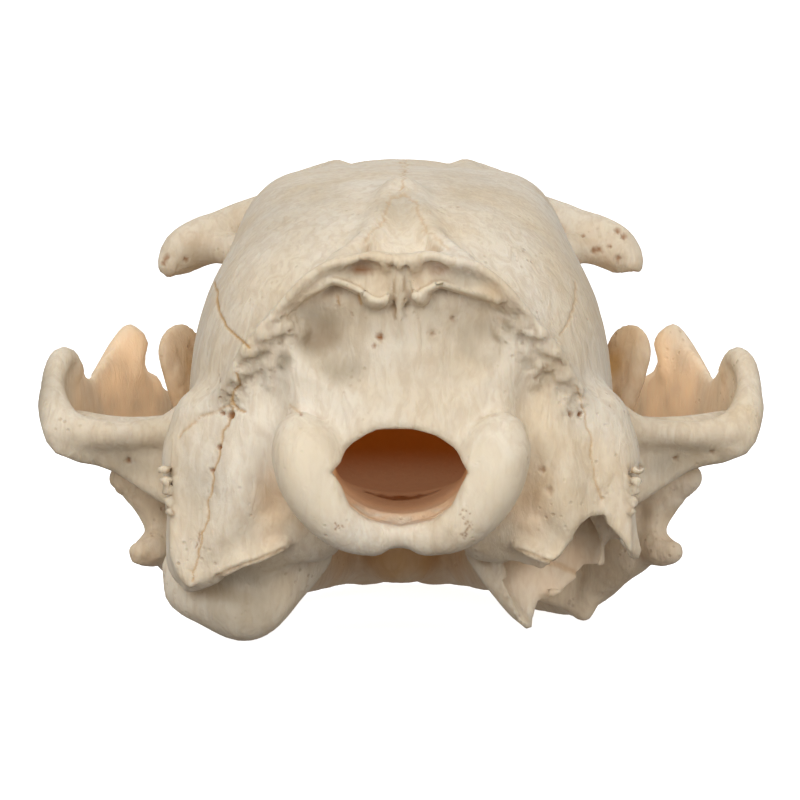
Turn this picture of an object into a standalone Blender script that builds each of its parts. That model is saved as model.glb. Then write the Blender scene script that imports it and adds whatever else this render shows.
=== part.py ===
"""Aardwolf skull: the cranium, the mandible resting under it, and their teeth.

Metres, +Z up, +Y towards the snout and +X to the animal's right. The origin lies
on the resting surface, under the middle of the skull. Sizes below are in
millimetres, and MM turns them into metres where a mesh is made.
"""
import math

import bmesh
import bpy
from mathutils import Matrix, Vector

MM = 0.001
CLEARANCE = 0.35
JAW_JOINT_ROOM = 0.85

# Driving sizes of the whole skull: its rearmost point and its highest one.
BACK_Y = -70.0
CROWN_Z = 54.6

# How finely the bone is melted together, and how many faces are kept of it.
CRANIUM_VOXEL = 0.75
MANDIBLE_VOXEL = 0.6
SMOOTH_PASSES = 4
ROUGH_FACES = 36000
CRANIUM_FACES = 5000
MANDIBLE_FACES = 1550

# Braincase, brow and snout: y, half width, z low, z of the widest line, z high.
CORE = [
    (-66.8, 12.0, 19.0, 28.0, 41.8),
    (-65.4, 17.0, 15.6, 27.0, 44.6),
    (-62.0, 20.8, 13.6, 26.0, 46.4),
    (-57.0, 22.8, 12.4, 25.5, 48.4),
    (-50.0, 24.0, 12.0, 25.5, 50.8),
    (-40.0, 24.5, 12.2, 25.5, 52.9),
    (-30.0, 24.2, 13.4, 25.5, 54.0),
    (-20.0, 21.6, 15.5, 29.0, 54.5),
    (-12.0, 18.0, 17.5, 33.0, CROWN_Z),
    (-5.0, 15.8, 18.5, 36.0, CROWN_Z),
    (2.0, 16.2, 17.0, 38.0, CROWN_Z),
    (9.0, 18.4, 15.6, 37.0, 54.0),
    (16.0, 20.4, 15.0, 31.0, 51.6),
    (22.0, 20.6, 15.0, 26.0, 48.4),
    (29.0, 17.4, 15.0, 24.5, 45.0),
    (38.0, 14.8, 15.2, 24.0, 41.4),
    (48.0, 13.7, 15.4, 24.0, 38.3),
    (57.0, 13.2, 15.6, 23.0, 36.0),
    (62.0, 12.2, 15.6, 22.5, 34.6),
    (66.0, 10.6, 15.7, 21.0, 32.0),
    (68.6, 8.6, 15.9, 19.5, 26.0),
    (70.3, 6.6, 16.4, 18.4, 20.6),
]
CORE_POWER = 2.4
RING_POINTS = 40

# Limbs of bone on the animal's left: x, y, z and radius of each point on the line.
# A flat limb's section is this many times thinner across than it is tall.
ARCH = [
    (-22.0, -31.0, 21.0, 3.4),
    (-30.0, -32.4, 20.9, 3.4),
    (-36.4, -30.8, 21.8, 3.6),
    (-40.4, -25.0, 25.4, 5.6),
    (-41.0, -19.0, 27.0, 5.4),
    (-39.6, -11.0, 25.6, 4.0),
    (-37.6, -4.0, 25.4, 4.4),
    (-34.2, 4.0, 24.6, 5.2),
    (-29.8, 11.0, 23.4, 5.4),
    (-24.0, 18.0, 22.4, 6.2),
    (-18.0, 23.0, 22.6, 7.0),
]
ARCH_FLATNESS = 3.4
JUGAL_BLADE = [
    (-39.0, -11.0, 26.0, 2.2),
    (-36.2, -5.4, 27.8, 3.6),
    (-33.2, -1.6, 30.6, 4.2),
    (-31.6, 3.4, 27.2, 4.2),
    (-28.6, 9.0, 25.0, 3.0),
]
JUGAL_FLATNESS = 2.8
GLENOID_ROOT = [
    (-20.0, -29.0, 22.0, 5.0),
    (-27.0, -28.6, 21.8, 3.8),
    (-33.0, -28.0, 22.2, 3.2),
    (-38.2, -26.0, 23.4, 2.6),
]
POSTGLENOID = [(-24.0, -31.6, 20.0, 2.4), (-28.0, -31.4, 17.4, 1.8), (-33.0, -30.8, 18.6, 1.5)]
BROW_PROCESS = [
    (-10.0, 4.0, 50.0, 4.4),
    (-18.0, 3.0, 47.0, 3.2),
    (-22.2, 2.0, 45.8, 2.8),
    (-25.8, 0.8, 44.0, 2.4),
    (-28.4, -0.6, 41.8, 1.3),
]
TEMPORAL_RIDGE = [
    (-15.0, 2.0, 50.8, 1.8),
    (-8.4, -8.0, 53.2, 1.5),
    (-6.6, -30.0, 52.8, 1.3),
    (-2.0, -50.0, 49.6, 1.8),
    (0.6, -60.0, 46.4, 2.2),
]
NUCHAL_CREST = [
    (1.0, -68.0, 43.0, 1.7),
    (-5.6, -67.8, 42.0, 1.7),
    (-10.0, -67.0, 38.8, 1.7),
    (-13.6, -65.8, 35.4, 1.8),
    (-17.2, -63.8, 31.8, 1.8),
    (-20.4, -60.8, 27.2, 1.8),
    (-22.4, -57.4, 23.0, 1.9),
    (-24.2, -55.0, 18.0, 2.2),
]
CONDYLE = [
    (-7.2, -65.6, 25.0, 2.6),
    (-10.6, -66.6, 21.8, 3.4),
    (-10.6, -66.6, 17.4, 3.9),
    (-7.6, -66.4, 13.6, 3.3),
    (-3.4, -65.6, 12.4, 2.3),
    (0.6, -64.6, 13.2, 2.0),
]
PAROCCIPITAL = [(-20.0, -58.0, 20.0, 4.4), (-22.4, -57.6, 13.0, 4.0), (-22.8, -57.0, 7.6, 2.6)]
MASTOID_CENTRE = (-22.4, -50.0, 17.0)
MASTOID_RADII = (4.6, 10.0, 9.0)
BULLA_CENTRE = (-17.6, -42.5, 10.9)
BULLA_RADII = (9.3, 18.0, 8.8)
BULLA_KEEL = [
    (-24.0, -50.0, 9.0, 3.2),
    (-22.6, -47.0, 6.4, 3.8),
    (-16.2, -42.0, 2.8, 2.8),
    (-14.0, -36.0, 5.6, 3.2),
]
BULLA_NOSE = [(-15.0, -32.0, 10.0, 4.5), (-11.0, -20.0, 13.5, 3.0), (-8.0, -12.0, 16.5, 2.2)]
BASE_STRIP = [(0.0, -62.0, 15.0, 3.6), (0.0, -40.0, 15.4, 4.4), (0.0, -16.0, 18.0, 4.6)]
PTERYGOID = [(-6.2, 6.0, 18.0, 4.0), (-6.4, -4.0, 17.6, 4.0), (-6.8, -12.0, 15.6, 2.4)]
CHEEK_RIDGE = [(-20.6, 17.0, 18.0, 3.0), (-15.6, 34.0, 17.6, 3.0), (-12.6, 52.0, 17.6, 2.8)]

# Hollows: middle and radii of each.
BRAIN_CENTRE = (0.0, -31.0, 34.0)
BRAIN_RADII = (20.8, 29.5, 18.2)
ORBIT_CENTRE = (26.4, 12.8, 38.0)
ORBIT_RADII = (13.4, 11.4, 10.4)
TEMPLE_CENTRE = (21.8, -3.0, 34.0)
TEMPLE_RADII = (8.0, 14.0, 10.6)
NOSTRIL_CENTRE = (0.0, 69.6, 28.4)
NOSTRIL_RADII = (6.6, 8.6, 7.4)
CHOANA_CENTRE = (0.0, -6.0, 14.6)
CHOANA_RADII = (4.4, 13.0, 4.6)
PALATE_CENTRE = (0.0, 36.0, 11.2)
PALATE_RADII = (10.0, 34.0, 6.0)
NUCHAL_HOLLOW_CENTRE = (7.0, -73.0, 32.4)
NUCHAL_HOLLOW_RADII = (8.6, 7.8, 7.6)
FORAMEN_WIDTH = 15.5
FORAMEN_HEIGHT = 10.4
FORAMEN_Z = 19.7
FORAMEN_DEPTH = 30.0
FORAMEN_LEAD = 4.0
CANINE_NOTCH = (10.6, 63.0, 14.6)
CANINE_NOTCH_RADII = (3.2, 2.6, 3.4)

# The broken right bulla: its wall, and the ragged line that is left, as x and z.
BULLA_WALL = 1.1
BREAK_LINE = [
    (13.6, 1.4),
    (14.6, 5.4),
    (16.2, 6.0),
    (18.0, 7.2),
    (19.8, 8.6),
    (20.6, 10.4),
    (22.8, 11.8),
    (24.4, 12.8),
    (25.8, 11.2),
    (26.6, 9.8),
]
BREAK_FLOOR_Z = -6.0
BREAK_SIDE_X = 34.0
BREAK_BACK_Y = -62.5
BREAK_FRONT_Y = -24.0

# Mandible, animal's left half.
JAW_BODY = [
    (0.4, 60.0, 5.4, 4.2),
    (-5.4, 56.0, 5.2, 4.8),
    (-9.6, 44.0, 5.4, 5.0),
    (-13.4, 28.0, 5.6, 5.2),
    (-17.0, 12.0, 5.6, 5.2),
    (-20.4, -4.0, 6.2, 5.8),
    (-23.6, -16.0, 8.6, 6.0),
    (-26.0, -22.0, 10.4, 4.6),
]
JAW_FLATNESS = 2.0
CORONOID = [
    (-21.6, -7.0, 10.0, 6.6),
    (-24.0, -9.6, 18.0, 6.6),
    (-26.2, -12.0, 26.0, 5.6),
    (-27.4, -15.0, 32.0, 3.4),
]
CORONOID_FLATNESS = 2.8
RAMUS = [(-23.0, -12.0, 9.0, 7.0), (-27.0, -21.0, 11.6, 5.4)]
RAMUS_FLATNESS = 2.6
JAW_HEEL = [(-31.6, -26.0, 15.6, 1.9), (-29.2, -25.6, 12.0, 2.1), (-30.0, -27.4, 8.8, 1.9)]
JAW_NECK = [(-25.0, -18.0, 12.0, 3.4), (-27.4, -23.0, 14.6, 2.6), (-28.6, -25.6, 16.4, 2.2)]
JAW_CONDYLE = [(-23.4, -25.0, 16.4, 1.5), (-28.6, -25.8, 16.8, 2.2), (-34.0, -26.4, 16.6, 1.4)]
ANGULAR = [(-24.6, -18.0, 8.0, 3.6), (-28.0, -24.0, 8.2, 2.4), (-30.9, -28.6, 8.3, 1.7)]
JAW_TIP = [(-18.6, -2.0, 4.2, 3.8), (-21.0, -9.6, 3.6, 3.4)]
SYMPHYSIS = [(-4.0, 58.0, 5.2, 4.6), (0.0, 48.0, 4.4, 3.6), (4.0, 58.0, 5.2, 4.6)]

# Teeth: the middle of the crown's foot, its width across, length along, height and
# lean outwards in degrees. Upper teeth point down, lower teeth point up.
UPPER_FOOT_Z = 16.2
LOWER_FOOT_Z = 9.8
ROOT_DEPTH = 2.2
TOOTH_SIDES = 8
UPPER_TEETH = {
    "upper_incisor_1": (1.3, 68.6, 1.9, 1.6, 3.2, 0.0),
    "upper_incisor_2": (3.8, 67.9, 2.0, 1.7, 3.4, 4.0),
    "upper_incisor_3": (6.5, 66.4, 2.2, 2.0, 3.9, 8.0),
    "upper_canine": (11.4, 57.4, 3.0, 3.6, 8.6, 8.0),
    "upper_cheek_1": (12.2, 49.0, 1.7, 2.4, 2.6, 4.0),
    "upper_cheek_2": (12.9, 41.0, 1.7, 2.6, 2.6, 4.0),
    "upper_cheek_3": (14.6, 32.6, 1.8, 2.8, 2.8, 4.0),
    "upper_cheek_4": (17.4, 24.0, 2.2, 2.6, 2.4, 4.0),
}
LOWER_TEETH = {
    "lower_incisor_1": (1.2, 63.0, 1.5, 1.5, 3.0, 0.0),
    "lower_incisor_2": (3.3, 62.4, 1.5, 1.5, 3.2, 4.0),
    "lower_incisor_3": (5.4, 61.2, 1.6, 1.7, 3.4, 8.0),
    "lower_canine": (7.2, 57.6, 2.4, 2.8, 7.4, 16.0),
    "lower_cheek_1": (9.4, 46.0, 1.4, 2.2, 2.2, 4.0),
    "lower_cheek_2": (11.4, 37.0, 1.4, 2.2, 2.2, 4.0),
}

BONE = (0.80, 0.70, 0.53)
JAW_BONE = (0.74, 0.63, 0.47)
ENAMEL = (0.86, 0.80, 0.66)


def clear_scene():
    """Removes every object that the scene starts with."""
    for item in list(bpy.data.objects):
        bpy.data.objects.remove(item)


def make_collection(name):
    """A new collection under the scene's own."""
    group = bpy.data.collections.new(name)
    bpy.context.scene.collection.children.link(group)
    return group


def make_material(name, colour, roughness):
    """A plain Principled material."""
    finish = bpy.data.materials.new(name)
    finish.use_nodes = True
    shader = finish.node_tree.nodes["Principled BSDF"]
    shader.inputs["Base Color"].default_value = (*colour, 1.0)
    shader.inputs["Roughness"].default_value = roughness
    shader.inputs["Metallic"].default_value = 0.0
    return finish


def metres(point):
    """A point given in millimetres, as a vector in metres."""
    return Vector(point[:3]) * MM


def solid(name, mesh, group):
    """An object for a mesh, in a collection."""
    item = bpy.data.objects.new(name, mesh)
    group.objects.link(item)
    return item


def ellipsoid(name, centre, radii, group, segments=24, rings=16):
    """A sphere primitive stretched to three radii, with its scale applied."""
    bpy.ops.mesh.primitive_uv_sphere_add(segments=segments, ring_count=rings, radius=1.0)
    item = bpy.context.object
    item.name = name
    stretch = Matrix.Diagonal((*(metres(radii)), 1.0))
    item.data.transform(Matrix.Translation(metres(centre)) @ stretch)
    for owner in list(item.users_collection):
        owner.objects.unlink(item)
    group.objects.link(item)
    return item


def ring_outline(half_width, z_low, z_wide, z_high):
    """The points of one cross-section, fuller than an ellipse at its corners."""
    points = []
    for step in range(RING_POINTS):
        angle = 2.0 * math.pi * step / RING_POINTS
        across = math.copysign(abs(math.cos(angle)) ** (2.0 / CORE_POWER), math.cos(angle))
        up = math.copysign(abs(math.sin(angle)) ** (2.0 / CORE_POWER), math.sin(angle))
        reach = z_high - z_wide if up > 0.0 else z_wide - z_low
        points.append((half_width * across, z_wide + reach * up))
    return points


def loft(name, stations, group):
    """A closed body through unlike cross-sections standing across the Y axis."""
    builder = bmesh.new()
    rings = []
    for y, half_width, z_low, z_wide, z_high in stations:
        outline = ring_outline(half_width, z_low, z_wide, z_high)
        rings.append([builder.verts.new(metres((x, y, z))) for x, z in outline])
    for ring, following in zip(rings, rings[1:]):
        for index in range(RING_POINTS):
            after = (index + 1) % RING_POINTS
            builder.faces.new((ring[index], ring[after], following[after], following[index]))
    builder.faces.new(list(reversed(rings[0])))
    builder.faces.new(rings[-1])
    bmesh.ops.recalc_face_normals(builder, faces=builder.faces)
    mesh = bpy.data.meshes.new(name)
    builder.to_mesh(mesh)
    builder.free()
    return solid(name, mesh, group)


def section_curve(name, flatness, group):
    """The unit ellipse that a flat limb is swept with: tall one way, thin the other."""
    bpy.ops.curve.primitive_bezier_circle_add(radius=1.0)
    item = bpy.context.object
    item.name = name
    item.data.resolution_u = 4
    for point in item.data.splines[0].bezier_points:
        for part in ("co", "handle_left", "handle_right"):
            place = getattr(point, part)
            place.x /= flatness
    for owner in list(item.users_collection):
        owner.objects.unlink(item)
    group.objects.link(item)
    return item


def limb(name, points, group, flatness=1.0):
    """A tapered bone along a smooth line through points of x, y, z and radius."""
    line = bpy.data.curves.new(name, "CURVE")
    line.dimensions = "3D"
    line.twist_mode = "Z_UP"
    line.resolution_u = 6
    line.use_fill_caps = True
    spline = line.splines.new("BEZIER")
    spline.bezier_points.add(len(points) - 1)
    for knot, (x, y, z, radius) in zip(spline.bezier_points, points):
        knot.co = metres((x, y, z))
        knot.radius = radius * MM
        knot.handle_left_type = "AUTO"
        knot.handle_right_type = "AUTO"
    section = section_curve(name + "_section", flatness, group)
    line.bevel_mode = "OBJECT"
    line.bevel_object = section
    path = bpy.data.objects.new(name, line)
    group.objects.link(path)
    item = baked(path, name, group)
    weld(item.data)
    bpy.data.objects.remove(section)
    return item


def baked(source, name, group):
    """A plain mesh object of what a curve or a modified mesh evaluates to."""
    bpy.context.view_layer.update()
    state = source.evaluated_get(bpy.context.evaluated_depsgraph_get())
    mesh = bpy.data.meshes.new_from_object(state)
    item = bpy.data.objects.new(name, mesh)
    item.matrix_world = source.matrix_world
    bpy.data.objects.remove(source)
    item.name = name
    group.objects.link(item)
    return item


def weld(mesh):
    """Closes the caps of a swept tube and points its faces out."""
    builder = bmesh.new()
    builder.from_mesh(mesh)
    bmesh.ops.remove_doubles(builder, verts=builder.verts, dist=0.00001)
    bmesh.ops.recalc_face_normals(builder, faces=builder.faces)
    builder.to_mesh(mesh)
    builder.free()


def merged(name, items, group):
    """One object that holds the meshes of several."""
    builder = bmesh.new()
    for item in items:
        builder.from_mesh(item.data)
        bpy.data.objects.remove(item)
    mesh = bpy.data.meshes.new(name)
    builder.to_mesh(mesh)
    builder.free()
    return solid(name, mesh, group)


def both_sides(item, group):
    """The shape with its mirror image across the midline."""
    mirror = item.modifiers.new("Both sides", "MIRROR")
    mirror.use_axis = (True, False, False)
    mirror.use_mirror_merge = False
    return baked(item, item.name, group)


def melted(item, voxel, group):
    """The overlapping shapes joined in one skin, softened where they meet."""
    skin = item.modifiers.new("One skin", "REMESH")
    skin.mode = "VOXEL"
    skin.voxel_size = voxel * MM
    skin.use_smooth_shade = True
    soften = item.modifiers.new("Soften", "SMOOTH")
    soften.factor = 0.5
    soften.iterations = SMOOTH_PASSES
    return baked(item, item.name, group)


def cut_with(item, cutters, label):
    """Takes every cutter of a collection out of the item."""
    cut = item.modifiers.new(label, "BOOLEAN")
    cut.operation = "DIFFERENCE"
    cut.solver = "EXACT"
    cut.operand_type = "COLLECTION"
    cut.collection = cutters


def thinned(item, faces, group):
    """The shape with about this many triangles."""
    item.data.calc_loop_triangles()
    fewer = item.modifiers.new("Fewer faces", "DECIMATE")
    fewer.ratio = min(1.0, faces / len(item.data.loop_triangles))
    fewer.use_collapse_triangulate = True
    return baked(item, item.name, group)


def as_cutter(item):
    """Marks a shape that only takes bone away."""
    item.hide_render = True
    item.display_type = "WIRE"
    return item


def mirrored_centre(centre, side):
    """The centre of a paired feature on one side, +1 for the animal's right."""
    return (abs(centre[0]) * side, centre[1], centre[2])


def foramen_cutter(group):
    """The eye-shaped opening at the back of the braincase, run in to its cavity."""
    bpy.ops.mesh.primitive_cylinder_add(vertices=24, radius=0.5, depth=1.0)
    item = bpy.context.object
    item.name = "foramen_cutter"
    turn = Matrix.Rotation(math.radians(90.0), 4, "X")
    size = Matrix.Diagonal((FORAMEN_WIDTH * MM, FORAMEN_DEPTH * MM, FORAMEN_HEIGHT * MM, 1.0))
    place = Matrix.Translation(metres((0.0, BACK_Y - FORAMEN_LEAD + FORAMEN_DEPTH * 0.5, FORAMEN_Z)))
    item.data.transform(place @ size @ turn)
    for owner in list(item.users_collection):
        owner.objects.unlink(item)
    group.objects.link(item)
    return as_cutter(item)


def break_cutter(group):
    """A block with a ragged upper edge that breaks the right bulla away."""
    outline = BREAK_LINE + [
        (BREAK_SIDE_X, BREAK_LINE[-1][1]),
        (BREAK_SIDE_X, BREAK_FLOOR_Z),
        (BREAK_LINE[0][0], BREAK_FLOOR_Z),
    ]
    builder = bmesh.new()
    near = [builder.verts.new(metres((x, BREAK_BACK_Y, z))) for x, z in outline]
    face = builder.faces.new(near)
    grown = bmesh.ops.extrude_face_region(builder, geom=[face])
    far = [vert for vert in grown["geom"] if isinstance(vert, bmesh.types.BMVert)]
    bmesh.ops.translate(builder, verts=far, vec=(0.0, (BREAK_FRONT_Y - BREAK_BACK_Y) * MM, 0.0))
    bmesh.ops.recalc_face_normals(builder, faces=builder.faces)
    mesh = bpy.data.meshes.new("break_cutter")
    builder.to_mesh(mesh)
    builder.free()
    return as_cutter(solid("break_cutter", mesh, group))


def bone_hollows(group):
    """Every hollow of the cranium, as cutters."""
    as_cutter(ellipsoid("brain_cutter", BRAIN_CENTRE, BRAIN_RADII, group))
    foramen_cutter(group)
    as_cutter(ellipsoid("nostril_cutter", NOSTRIL_CENTRE, NOSTRIL_RADII, group))
    as_cutter(ellipsoid("choana_cutter", CHOANA_CENTRE, CHOANA_RADII, group))
    as_cutter(ellipsoid("palate_cutter", PALATE_CENTRE, PALATE_RADII, group))
    for side, word in ((-1, "left"), (1, "right")):
        for name, centre, radii in (
            ("orbit", ORBIT_CENTRE, ORBIT_RADII),
            ("temple", TEMPLE_CENTRE, TEMPLE_RADII),
            ("nuchal_hollow", NUCHAL_HOLLOW_CENTRE, NUCHAL_HOLLOW_RADII),
            ("canine_notch", CANINE_NOTCH, CANINE_NOTCH_RADII),
        ):
            place = mirrored_centre(centre, side)
            as_cutter(ellipsoid(f"{name}_cutter_{word}", place, radii, group))
    inner = [radius - BULLA_WALL for radius in BULLA_RADII]
    bulla = mirrored_centre(BULLA_CENTRE, 1)
    as_cutter(ellipsoid("bulla_cutter_right", bulla, inner, group))
    break_cutter(group)
    for side, word in ((-1, "left"), (1, "right")):
        groove = [(abs(x) * side, y, z, radius + JAW_JOINT_ROOM) for x, y, z, radius in JAW_CONDYLE]
        as_cutter(limb(f"glenoid_cutter_{word}", groove, group))


def build_cranium(group, cutters, sockets, finish):
    """The upper skull in one piece."""
    flank = [
        limb("arch", ARCH, group, ARCH_FLATNESS),
        limb("jugal_blade", JUGAL_BLADE, group, JUGAL_FLATNESS),
        limb("glenoid_root", GLENOID_ROOT, group),
        limb("postglenoid", POSTGLENOID, group),
        limb("brow_process", BROW_PROCESS, group),
        limb("nuchal_crest", NUCHAL_CREST, group),
        limb("condyle", CONDYLE, group),
        limb("paroccipital", PAROCCIPITAL, group),
        limb("bulla_nose", BULLA_NOSE, group),
        limb("bulla_keel", BULLA_KEEL, group),
        limb("temporal_ridge", TEMPORAL_RIDGE, group),
        limb("pterygoid", PTERYGOID, group, 2.6),
        limb("cheek_ridge", CHEEK_RIDGE, group),
        ellipsoid("mastoid", MASTOID_CENTRE, MASTOID_RADII, group),
        ellipsoid("bulla", BULLA_CENTRE, BULLA_RADII, group),
    ]
    flanks = both_sides(merged("flanks", flank, group), group)
    core = loft("core", CORE, group)
    strip = limb("base_strip", BASE_STRIP, group)
    cranium = merged("cranium", [core, strip, flanks], group)
    cranium = melted(cranium, CRANIUM_VOXEL, group)
    cranium = thinned(cranium, ROUGH_FACES, group)
    cut_with(cranium, cutters, "Hollows")
    cranium = baked(cranium, "cranium", group)
    cranium = thinned(cranium, CRANIUM_FACES, group)
    cranium.data.materials.append(finish)
    cut_with(cranium, sockets, "Sockets")
    return cranium


def build_mandible(group, sockets, finish):
    """The lower jaw in one piece, both halves grown together at the chin."""
    half = [
        limb("jaw_body", JAW_BODY, group, JAW_FLATNESS),
        limb("coronoid", CORONOID, group, CORONOID_FLATNESS),
        limb("ramus", RAMUS, group, RAMUS_FLATNESS),
        limb("jaw_neck", JAW_NECK, group),
        limb("jaw_heel", JAW_HEEL, group),
        limb("jaw_condyle", JAW_CONDYLE, group),
        limb("angular", ANGULAR, group),
        limb("jaw_tip", JAW_TIP, group),
    ]
    halves = both_sides(merged("halves", half, group), group)
    chin = limb("symphysis", SYMPHYSIS, group)
    mandible = merged("mandible", [halves, chin], group)
    mandible = melted(mandible, MANDIBLE_VOXEL, group)
    mandible = thinned(mandible, MANDIBLE_FACES, group)
    mandible.data.materials.append(finish)
    cut_with(mandible, sockets, "Sockets")
    return mandible


def tooth_cone(name, sizes, foot_z, point, side, grow, group):
    """One peg: a root cylinder in the bone and a tapered crown outside it."""
    x, y, across, along, height, lean = sizes
    builder = bmesh.new()
    levels = [(-ROOT_DEPTH, 0.74), (height * 0.2, 0.96), (height * 0.7, 0.56), (height, 0.12)]
    rings = []
    for rise, share in levels:
        ring = []
        for step in range(TOOTH_SIDES):
            angle = 2.0 * math.pi * (step + 0.5) / TOOTH_SIDES
            wide = across * 0.5 * share + grow
            long = along * 0.5 * share + grow
            ring.append(builder.verts.new((wide * math.cos(angle), long * math.sin(angle), rise)))
        rings.append(ring)
    for vert in rings[0]:
        vert.co.z -= grow
    for ring, following in zip(rings, rings[1:]):
        for index in range(TOOTH_SIDES):
            after = (index + 1) % TOOTH_SIDES
            builder.faces.new((ring[index], ring[after], following[after], following[index]))
    builder.faces.new(list(reversed(rings[0])))
    builder.faces.new(rings[-1])
    tilt = Matrix.Rotation(math.radians(lean * side), 4, "Y")
    flip = Matrix.Diagonal((1.0, 1.0, point, 1.0))
    place = Matrix.Translation((x * side, y, foot_z))
    scale = Matrix.Scale(MM, 4)
    bmesh.ops.transform(builder, matrix=scale @ place @ flip @ tilt, verts=builder.verts)
    bmesh.ops.recalc_face_normals(builder, faces=builder.faces)
    mesh = bpy.data.meshes.new(name)
    builder.to_mesh(mesh)
    builder.free()
    mesh.shade_smooth()
    return solid(name, mesh, group)


def build_teeth(table, foot_z, point, group, sockets, finish):
    """Every tooth of one jaw, and the sockets it stands in."""
    for side, word in ((-1, "left"), (1, "right")):
        for kind, sizes in table.items():
            name = f"{kind}_{word}"
            tooth = tooth_cone(name, sizes, foot_z, point, side, 0.0, group)
            tooth.data.materials.append(finish)
            socket = tooth_cone(f"{name}_socket", sizes, foot_z, point, side, CLEARANCE, sockets)
            as_cutter(socket)


def main():
    """Builds the skull."""
    clear_scene()
    skull = make_collection("aardwolf_skull")
    cutters = make_collection("skull_hollows")
    upper_sockets = make_collection("upper_sockets")
    lower_sockets = make_collection("lower_sockets")
    bone = make_material("bone", BONE, 0.55)
    jaw_bone = make_material("jaw_bone", JAW_BONE, 0.58)
    enamel = make_material("enamel", ENAMEL, 0.3)
    bone_hollows(cutters)
    build_teeth(UPPER_TEETH, UPPER_FOOT_Z, -1.0, skull, upper_sockets, enamel)
    build_teeth(LOWER_TEETH, LOWER_FOOT_Z, 1.0, skull, lower_sockets, enamel)
    build_mandible(skull, lower_sockets, jaw_bone)
    build_cranium(skull, cutters, upper_sockets, bone)


main()
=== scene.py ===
"""Aardwolf skull, seen from behind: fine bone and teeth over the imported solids.

The bone is modelled as a field of distances, in millimetres: lumps, limbs and
plates are melted into each other and hollows are taken out of them. The field is
then skinned, thinned, made finer where the bone is finely worked, and carved.
+Y points to the snout, +X to the animal's right, and the floor is at z = 0.
"""
import logging
import math
from dataclasses import dataclass, field
from enum import Enum
from functools import partial
from typing import Callable, Iterable, Sequence

import bpy
import numpy as np
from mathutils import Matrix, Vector


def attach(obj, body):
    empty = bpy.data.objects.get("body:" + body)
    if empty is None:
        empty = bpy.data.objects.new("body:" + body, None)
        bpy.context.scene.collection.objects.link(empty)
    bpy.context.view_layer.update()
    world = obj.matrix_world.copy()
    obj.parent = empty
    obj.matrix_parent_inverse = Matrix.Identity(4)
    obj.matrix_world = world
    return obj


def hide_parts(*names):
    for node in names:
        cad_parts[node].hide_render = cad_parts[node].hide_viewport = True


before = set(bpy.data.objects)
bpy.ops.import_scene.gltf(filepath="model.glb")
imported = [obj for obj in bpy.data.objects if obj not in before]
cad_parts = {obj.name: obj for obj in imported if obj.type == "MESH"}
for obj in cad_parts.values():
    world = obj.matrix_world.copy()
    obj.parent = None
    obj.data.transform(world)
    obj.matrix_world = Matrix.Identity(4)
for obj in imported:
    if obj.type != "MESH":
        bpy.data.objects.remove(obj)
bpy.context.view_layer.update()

MM = 0.001
FAR = 6.0
ROOT = "root"
log = logging.getLogger("aardwolf_skull")

Array = np.ndarray
Point = tuple[float, float, float]
Knot = tuple[float, ...]
Line = Sequence[Knot]


class Mode(Enum):
    """Whether a shape brings bone or takes it away."""

    ADD = "add"
    CUT = "cut"


def smooth_min(first: Array, second: Array, blend: float) -> Array:
    """The lower of two fields, rounded over where they are close.

    Args:
        first: Distances of one shape.
        second: Distances of the other shape.
        blend: How far, in mm, the rounding reaches.

    Returns:
        The distances of the two shapes melted together.
    """
    share = np.clip(0.5 + 0.5 * (second - first) / blend, 0.0, 1.0)
    return second + (first - second) * share - blend * share * (1.0 - share)


def smooth_step(low: float, high: float, value: Array) -> Array:
    """A soft step from 0 at low to 1 at high."""
    share = np.clip((value - low) / (high - low), 0.0, 1.0)
    return share * share * (3.0 - 2.0 * share)


@dataclass
class Noise:
    """Soft seeded noise in space, between about -1 and 1."""

    seed: int
    size: int = 32

    def __post_init__(self) -> None:
        """Draws the lattice that the noise is read from."""
        drawn = np.random.default_rng(self.seed)
        self.lattice = drawn.uniform(-1.0, 1.0, (self.size,) * 3).astype(np.float32)

    def at(self, points: Array, grain: float, stretch: Point = (1.0, 1.0, 1.0)) -> Array:
        """The noise at some points.

        Args:
            points: Places in mm, one row each.
            grain: Size of its lumps in mm.
            stretch: How much longer the lumps are along each axis.

        Returns:
            One value for each point.
        """
        place = points / (grain * np.asarray(stretch, np.float32))
        cell = np.floor(place).astype(np.int64)
        part = (place - cell).astype(np.float32)
        part = part * part * (3.0 - 2.0 * part)
        total = np.zeros(len(points), np.float32)
        for corner in range(8):
            step = np.array([(corner >> axis) & 1 for axis in range(3)])
            spot = (cell + step) % self.size
            weight = np.prod(np.where(step, part, 1.0 - part), axis=1)
            total += weight * self.lattice[spot[:, 0], spot[:, 1], spot[:, 2]]
        return total

    def layered(self, points: Array, grain: float, layers: int = 3,
                stretch: Point = (1.0, 1.0, 1.0)) -> Array:
        """Several sizes of the noise added up, each half as strong and as large."""
        total = np.zeros(len(points), np.float32)
        for layer in range(layers):
            share = 0.5 ** layer
            total += share * self.at(points + 17.3 * layer, grain * share, stretch)
        return total


class Shape:
    """Something with a distance to every place: negative inside, in mm."""

    def bounds(self) -> tuple[Array, Array]:
        """The lowest and highest corner of the shape's box."""
        raise NotImplementedError

    def distance(self, x: Array, y: Array, z: Array) -> Array:
        """The distance at places whose coordinates broadcast together."""
        raise NotImplementedError


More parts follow.
